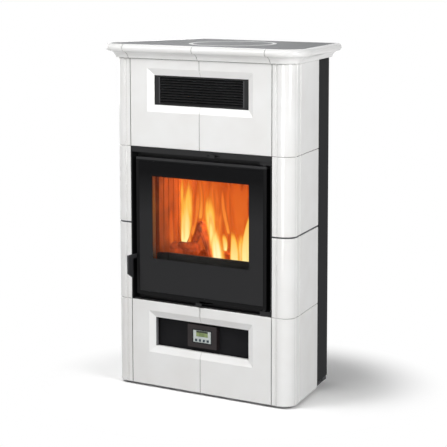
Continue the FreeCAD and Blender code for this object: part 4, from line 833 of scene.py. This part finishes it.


# The glow sheets are painted firelight: they stand for the fire's light on the lining behind and beside the
# flames.
# Each flame: its depth in the firebox, how deep its sheet is cupped, its finish and its spine.
for name, depth, cup, finish, spine in (
        ("flame_left", -0.060, 0.010, bright_flame,
         ((-0.166, 0.466, 0.022), (-0.166, 0.510, 0.032), (-0.163, 0.570, 0.036), (-0.163, 0.640, 0.038),
          (-0.165, 0.700, 0.036), (-0.167, 0.752, 0.032))),
        ("flame_on_left_log", -0.074, 0.004, amber_flame,
         ((-0.153, 0.455, 0.006), (-0.140, 0.490, 0.011), (-0.120, 0.540, 0.013), (-0.106, 0.600, 0.016),
          (-0.100, 0.670, 0.018), (-0.100, 0.730, 0.014))),
        ("flame_middle", -0.085, 0.008, bright_flame,
         ((0.006, 0.425, 0.026), (-0.004, 0.455, 0.032), (-0.016, 0.490, 0.037), (-0.031, 0.541, 0.037),
          (-0.042, 0.587, 0.036), (-0.043, 0.620, 0.031), (-0.046, 0.660, 0.024), (-0.048, 0.712, 0.012))),
        ("flame_middle_low", -0.095, 0.005, white_hot_flame,
         ((0.004, 0.415, 0.026), (-0.005, 0.450, 0.032), (-0.013, 0.490, 0.034), (-0.021, 0.530, 0.028),
          (-0.029, 0.575, 0.016), (-0.035, 0.620, 0.007))),
        ("flame_ribbon", -0.030, 0.004, amber_flame,
         ((0.000, 0.520, 0.010), (-0.010, 0.560, 0.013), (-0.024, 0.610, 0.013), (-0.028, 0.660, 0.010),
          (-0.026, 0.710, 0.007))),
        ("flame_small", -0.070, 0.002, bright_flame,
         ((0.010, 0.474, 0.010), (0.010, 0.498, 0.019), (0.008, 0.520, 0.018), (0.003, 0.548, 0.008))),
        ("flame_right_inner", -0.095, 0.005, bright_flame,
         ((0.070, 0.412, 0.024), (0.068, 0.440, 0.028), (0.066, 0.475, 0.027), (0.064, 0.510, 0.021),
          (0.060, 0.545, 0.013), (0.054, 0.580, 0.006))),
        ("flame_right_low", -0.060, 0.006, bright_flame,
         ((0.066, 0.400, 0.044), (0.066, 0.440, 0.050), (0.068, 0.480, 0.046), (0.072, 0.520, 0.034),
          (0.076, 0.560, 0.018))),
        ("flame_left_front", -0.110, 0.004, thin_flame,
         ((-0.176, 0.474, 0.024), (-0.178, 0.510, 0.030), (-0.180, 0.550, 0.028), (-0.182, 0.600, 0.020),
          (-0.182, 0.660, 0.010))),
        ("flame_from_apex", -0.010, 0.004, amber_flame,
         ((-0.137, 0.560, 0.012), (-0.136, 0.600, 0.018), (-0.137, 0.640, 0.020), (-0.140, 0.690, 0.018),
          (-0.143, 0.740, 0.014))),
        ("flame_right_outer", -0.080, 0.008, bright_flame,
         ((0.108, 0.410, 0.026), (0.104, 0.455, 0.034), (0.103, 0.505, 0.030), (0.112, 0.560, 0.024),
          (0.126, 0.615, 0.017), (0.140, 0.675, 0.009))),
        ("flame_far_right", -0.020, 0.008, bright_flame,
         ((0.155, 0.440, 0.022), (0.158, 0.500, 0.030), (0.154, 0.570, 0.028), (0.150, 0.640, 0.020),
          (0.152, 0.700, 0.010))),
        ("flame_back_left", 0.030, 0.010, amber_flame,
         ((-0.120, 0.430, 0.040), (-0.118, 0.520, 0.062), (-0.112, 0.640, 0.066), (-0.110, 0.756, 0.060))),
        ("glow_back_left", 0.060, 0.010, painted_firelight_glow,
         ((-0.125, 0.420, 0.080), (-0.125, 0.540, 0.082), (-0.124, 0.660, 0.082), (-0.124, 0.758, 0.082))),
        ("glow_in_corner", 0.000, 0.004, painted_firelight_glow,
         ((-0.134, 0.540, 0.030), (-0.133, 0.610, 0.040), (-0.132, 0.690, 0.044), (-0.132, 0.757, 0.044))),
        ("glow_back_middle", 0.040, 0.010, painted_firelight_glow,
         ((-0.010, 0.420, 0.080), (-0.008, 0.540, 0.110), (-0.006, 0.660, 0.116), (-0.004, 0.758, 0.116))),
        ("glow_back_right", 0.030, 0.010, painted_firelight_glow,
         ((0.110, 0.420, 0.060), (0.112, 0.540, 0.088), (0.112, 0.660, 0.090), (0.108, 0.758, 0.086))),
        ("glow_left_wall", -0.030, 0.006, thin_flame,
         ((-0.160, 0.420, 0.038), (-0.164, 0.500, 0.046), (-0.166, 0.600, 0.042), (-0.168, 0.700, 0.030)))):
    tongue(name, spine, depth, cup, finish)

# The fire's own light on the logs and the lining.
fire_colour = (1.0, 0.34, 0.08)
for name, spot, power, size in (("fire_light", (-0.02, -0.02, 0.58), 9.0, 0.05),
                                ("fire_light_low", (0.02, -0.115, 0.50), 1.8, 0.03)):
    holder = hang_lamp(name, "POINT", power, spot, (0, 0, -1), color=fire_colour, shadow_soft_size=size)
    holder.visible_camera = holder.visible_glossy = holder.visible_transmission = False


# Control plate, display and keys
# A moulded plastic housing, dark and matt, with a pale printed film let into its face, a green
# liquid-crystal display and four small rubber keys. Painted shade darkens the plastic round the film, as a
# shadow in a gap.

film_shadow_width = 0.005
film_low, film_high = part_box("lcd_bezel")
dark_plastic, tree, place = start_finish("moulded dark plastic")
pebble = add(tree, "ShaderNodeTexVoronoi", {"Vector": place, "Scale": 900.0})
bump = add(tree, "ShaderNodeBump", {"Height": pebble, "Strength": 0.3, "Distance": 0.0002})
_, tint = mottle(tree, place, 20.0, 2.0, "#1E1819", "#261F20")
# Painted shade: a band of the plastic round the film is darkened, standing for the shadow in the gap there.
from_film = add(tree, "ShaderNodeVectorMath", {0: place, 1: (film_low + film_high) / 2}, operation="SUBTRACT")
aside = add(tree, "ShaderNodeVectorMath", {0: from_film}, operation="ABSOLUTE")
past_film = add(tree, "ShaderNodeVectorMath", {0: aside, 1: (film_high - film_low) / 2}, operation="SUBTRACT")
past = add(tree, "ShaderNodeSeparateXYZ", {"Vector": past_film})
widest = add(tree, "ShaderNodeMath", {0: past.outputs["X"], 1: past.outputs["Z"]}, operation="MAXIMUM")
painted_gap_shadow = add(tree, "ShaderNodeMath", {0: widest, 1: film_shadow_width}, operation="LESS_THAN")
shade = add(tree, "ShaderNodeMix", {"Factor": painted_gap_shadow, "A": tint, "B": "#060608"}, data_type="RGBA")
end_finish(tree, add(tree, "ShaderNodeBsdfPrincipled", {
    "Base Color": shade, "Roughness": 0.45, "Specular IOR Level": 0.3, "Normal": bump}))
dress(["control_plate", "mains_inlet"], dark_plastic)

# The film has the even, silky sheen of printed polyester.
pale_film, tree, place = start_finish("printed polyester film")
_, tint = mottle(tree, place, 30.0, 1.0, "#C2CAC8", "#D0D7D3")
end_finish(tree, add(tree, "ShaderNodeBsdfPrincipled", {"Base Color": tint, "Roughness": 0.25}))
dress(["lcd_bezel"], pale_film)

# The lit display shines faintly from within, under smooth glass.
crystal, tree, place = start_finish("green liquid crystal display")
_, tint = mottle(tree, place, 60.0, 1.0, "#71834F", "#8E9E68")
end_finish(tree, add(tree, "ShaderNodeBsdfPrincipled", {
    "Base Color": tint, "Roughness": 0.15, "Emission Color": tint, "Emission Strength": 0.14}))
dress(["lcd_display"], crystal)

# The display's dark bars: a temperature in seven-segment figures, under a dark header line.
dark_bars, tree, place = start_finish("dark liquid crystal")
_, tint = mottle(tree, place, 300.0, 1.0, "#20281A", "#2E3822")
end_finish(tree, add(tree, "ShaderNodeBsdfPrincipled", {"Base Color": tint, "Roughness": 0.3}))
figure_height = 0.0092
figure_width = 0.0052
figure_step = 0.0082
figure_foot = 0.0016
bar = 0.0009
point_left = 0.0022
point_right = 0.0012
header_height = 0.0028
film_margin = 0.0006
ink = 0.00005
low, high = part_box("lcd_display")
lit_bars = {"2": "abged", "1": "bc", "5": "afgcd"}
foot = low[2] + figure_foot
middle = foot + figure_height / 2
top = foot + figure_height
bars = [(low[0], high[2] - header_height, high[0], high[2])]
for number, figure in enumerate("215"):
    left = -figure_step * 1.5 + number * figure_step
    far = left + figure_width
    ends = {"a": (left, top - bar, far, top), "d": (left, foot, far, foot + bar),
            "g": (left, middle - bar / 2, far, middle + bar / 2),
            "f": (left, middle, left + bar, top), "e": (left, foot, left + bar, middle),
            "b": (far - bar, middle, far, top), "c": (far - bar, foot, far, middle)}
    bars += [ends[letter] for letter in lit_bars[figure]]
bars.append((left - point_left, foot, left - point_right, foot + bar))
bars.append((low[0], high[2], high[0], film_high[2] - film_margin))
film_proud = low[1] - film_low[1]
corners = [(x, low[1] - ink - (film_proud if z0 >= high[2] else 0), z) for x0, z0, x1, z1 in bars
           for x, z in ((x0, z0), (x1, z0), (x1, z1), (x0, z1))]
mesh = bpy.data.meshes.new("display_figures")
mesh.from_pydata(corners, [], [tuple(range(4 * n, 4 * n + 4)) for n in range(len(bars))])
figures = new_piece("display_figures", mesh, dark_bars)
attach(figures, "stove")

# The keys are moulded rubber, dusty and dull.
key_rubber, tree, place = start_finish("dark blue-grey rubber")
_, tint = mottle(tree, place, 800.0, 2.0, "#25323C", "#303E49")
end_finish(tree, add(tree, "ShaderNodeBsdfPrincipled", {"Base Color": tint, "Roughness": 0.6}))
dress(["button_1", "button_2", "button_3", "button_4"], key_rubber)
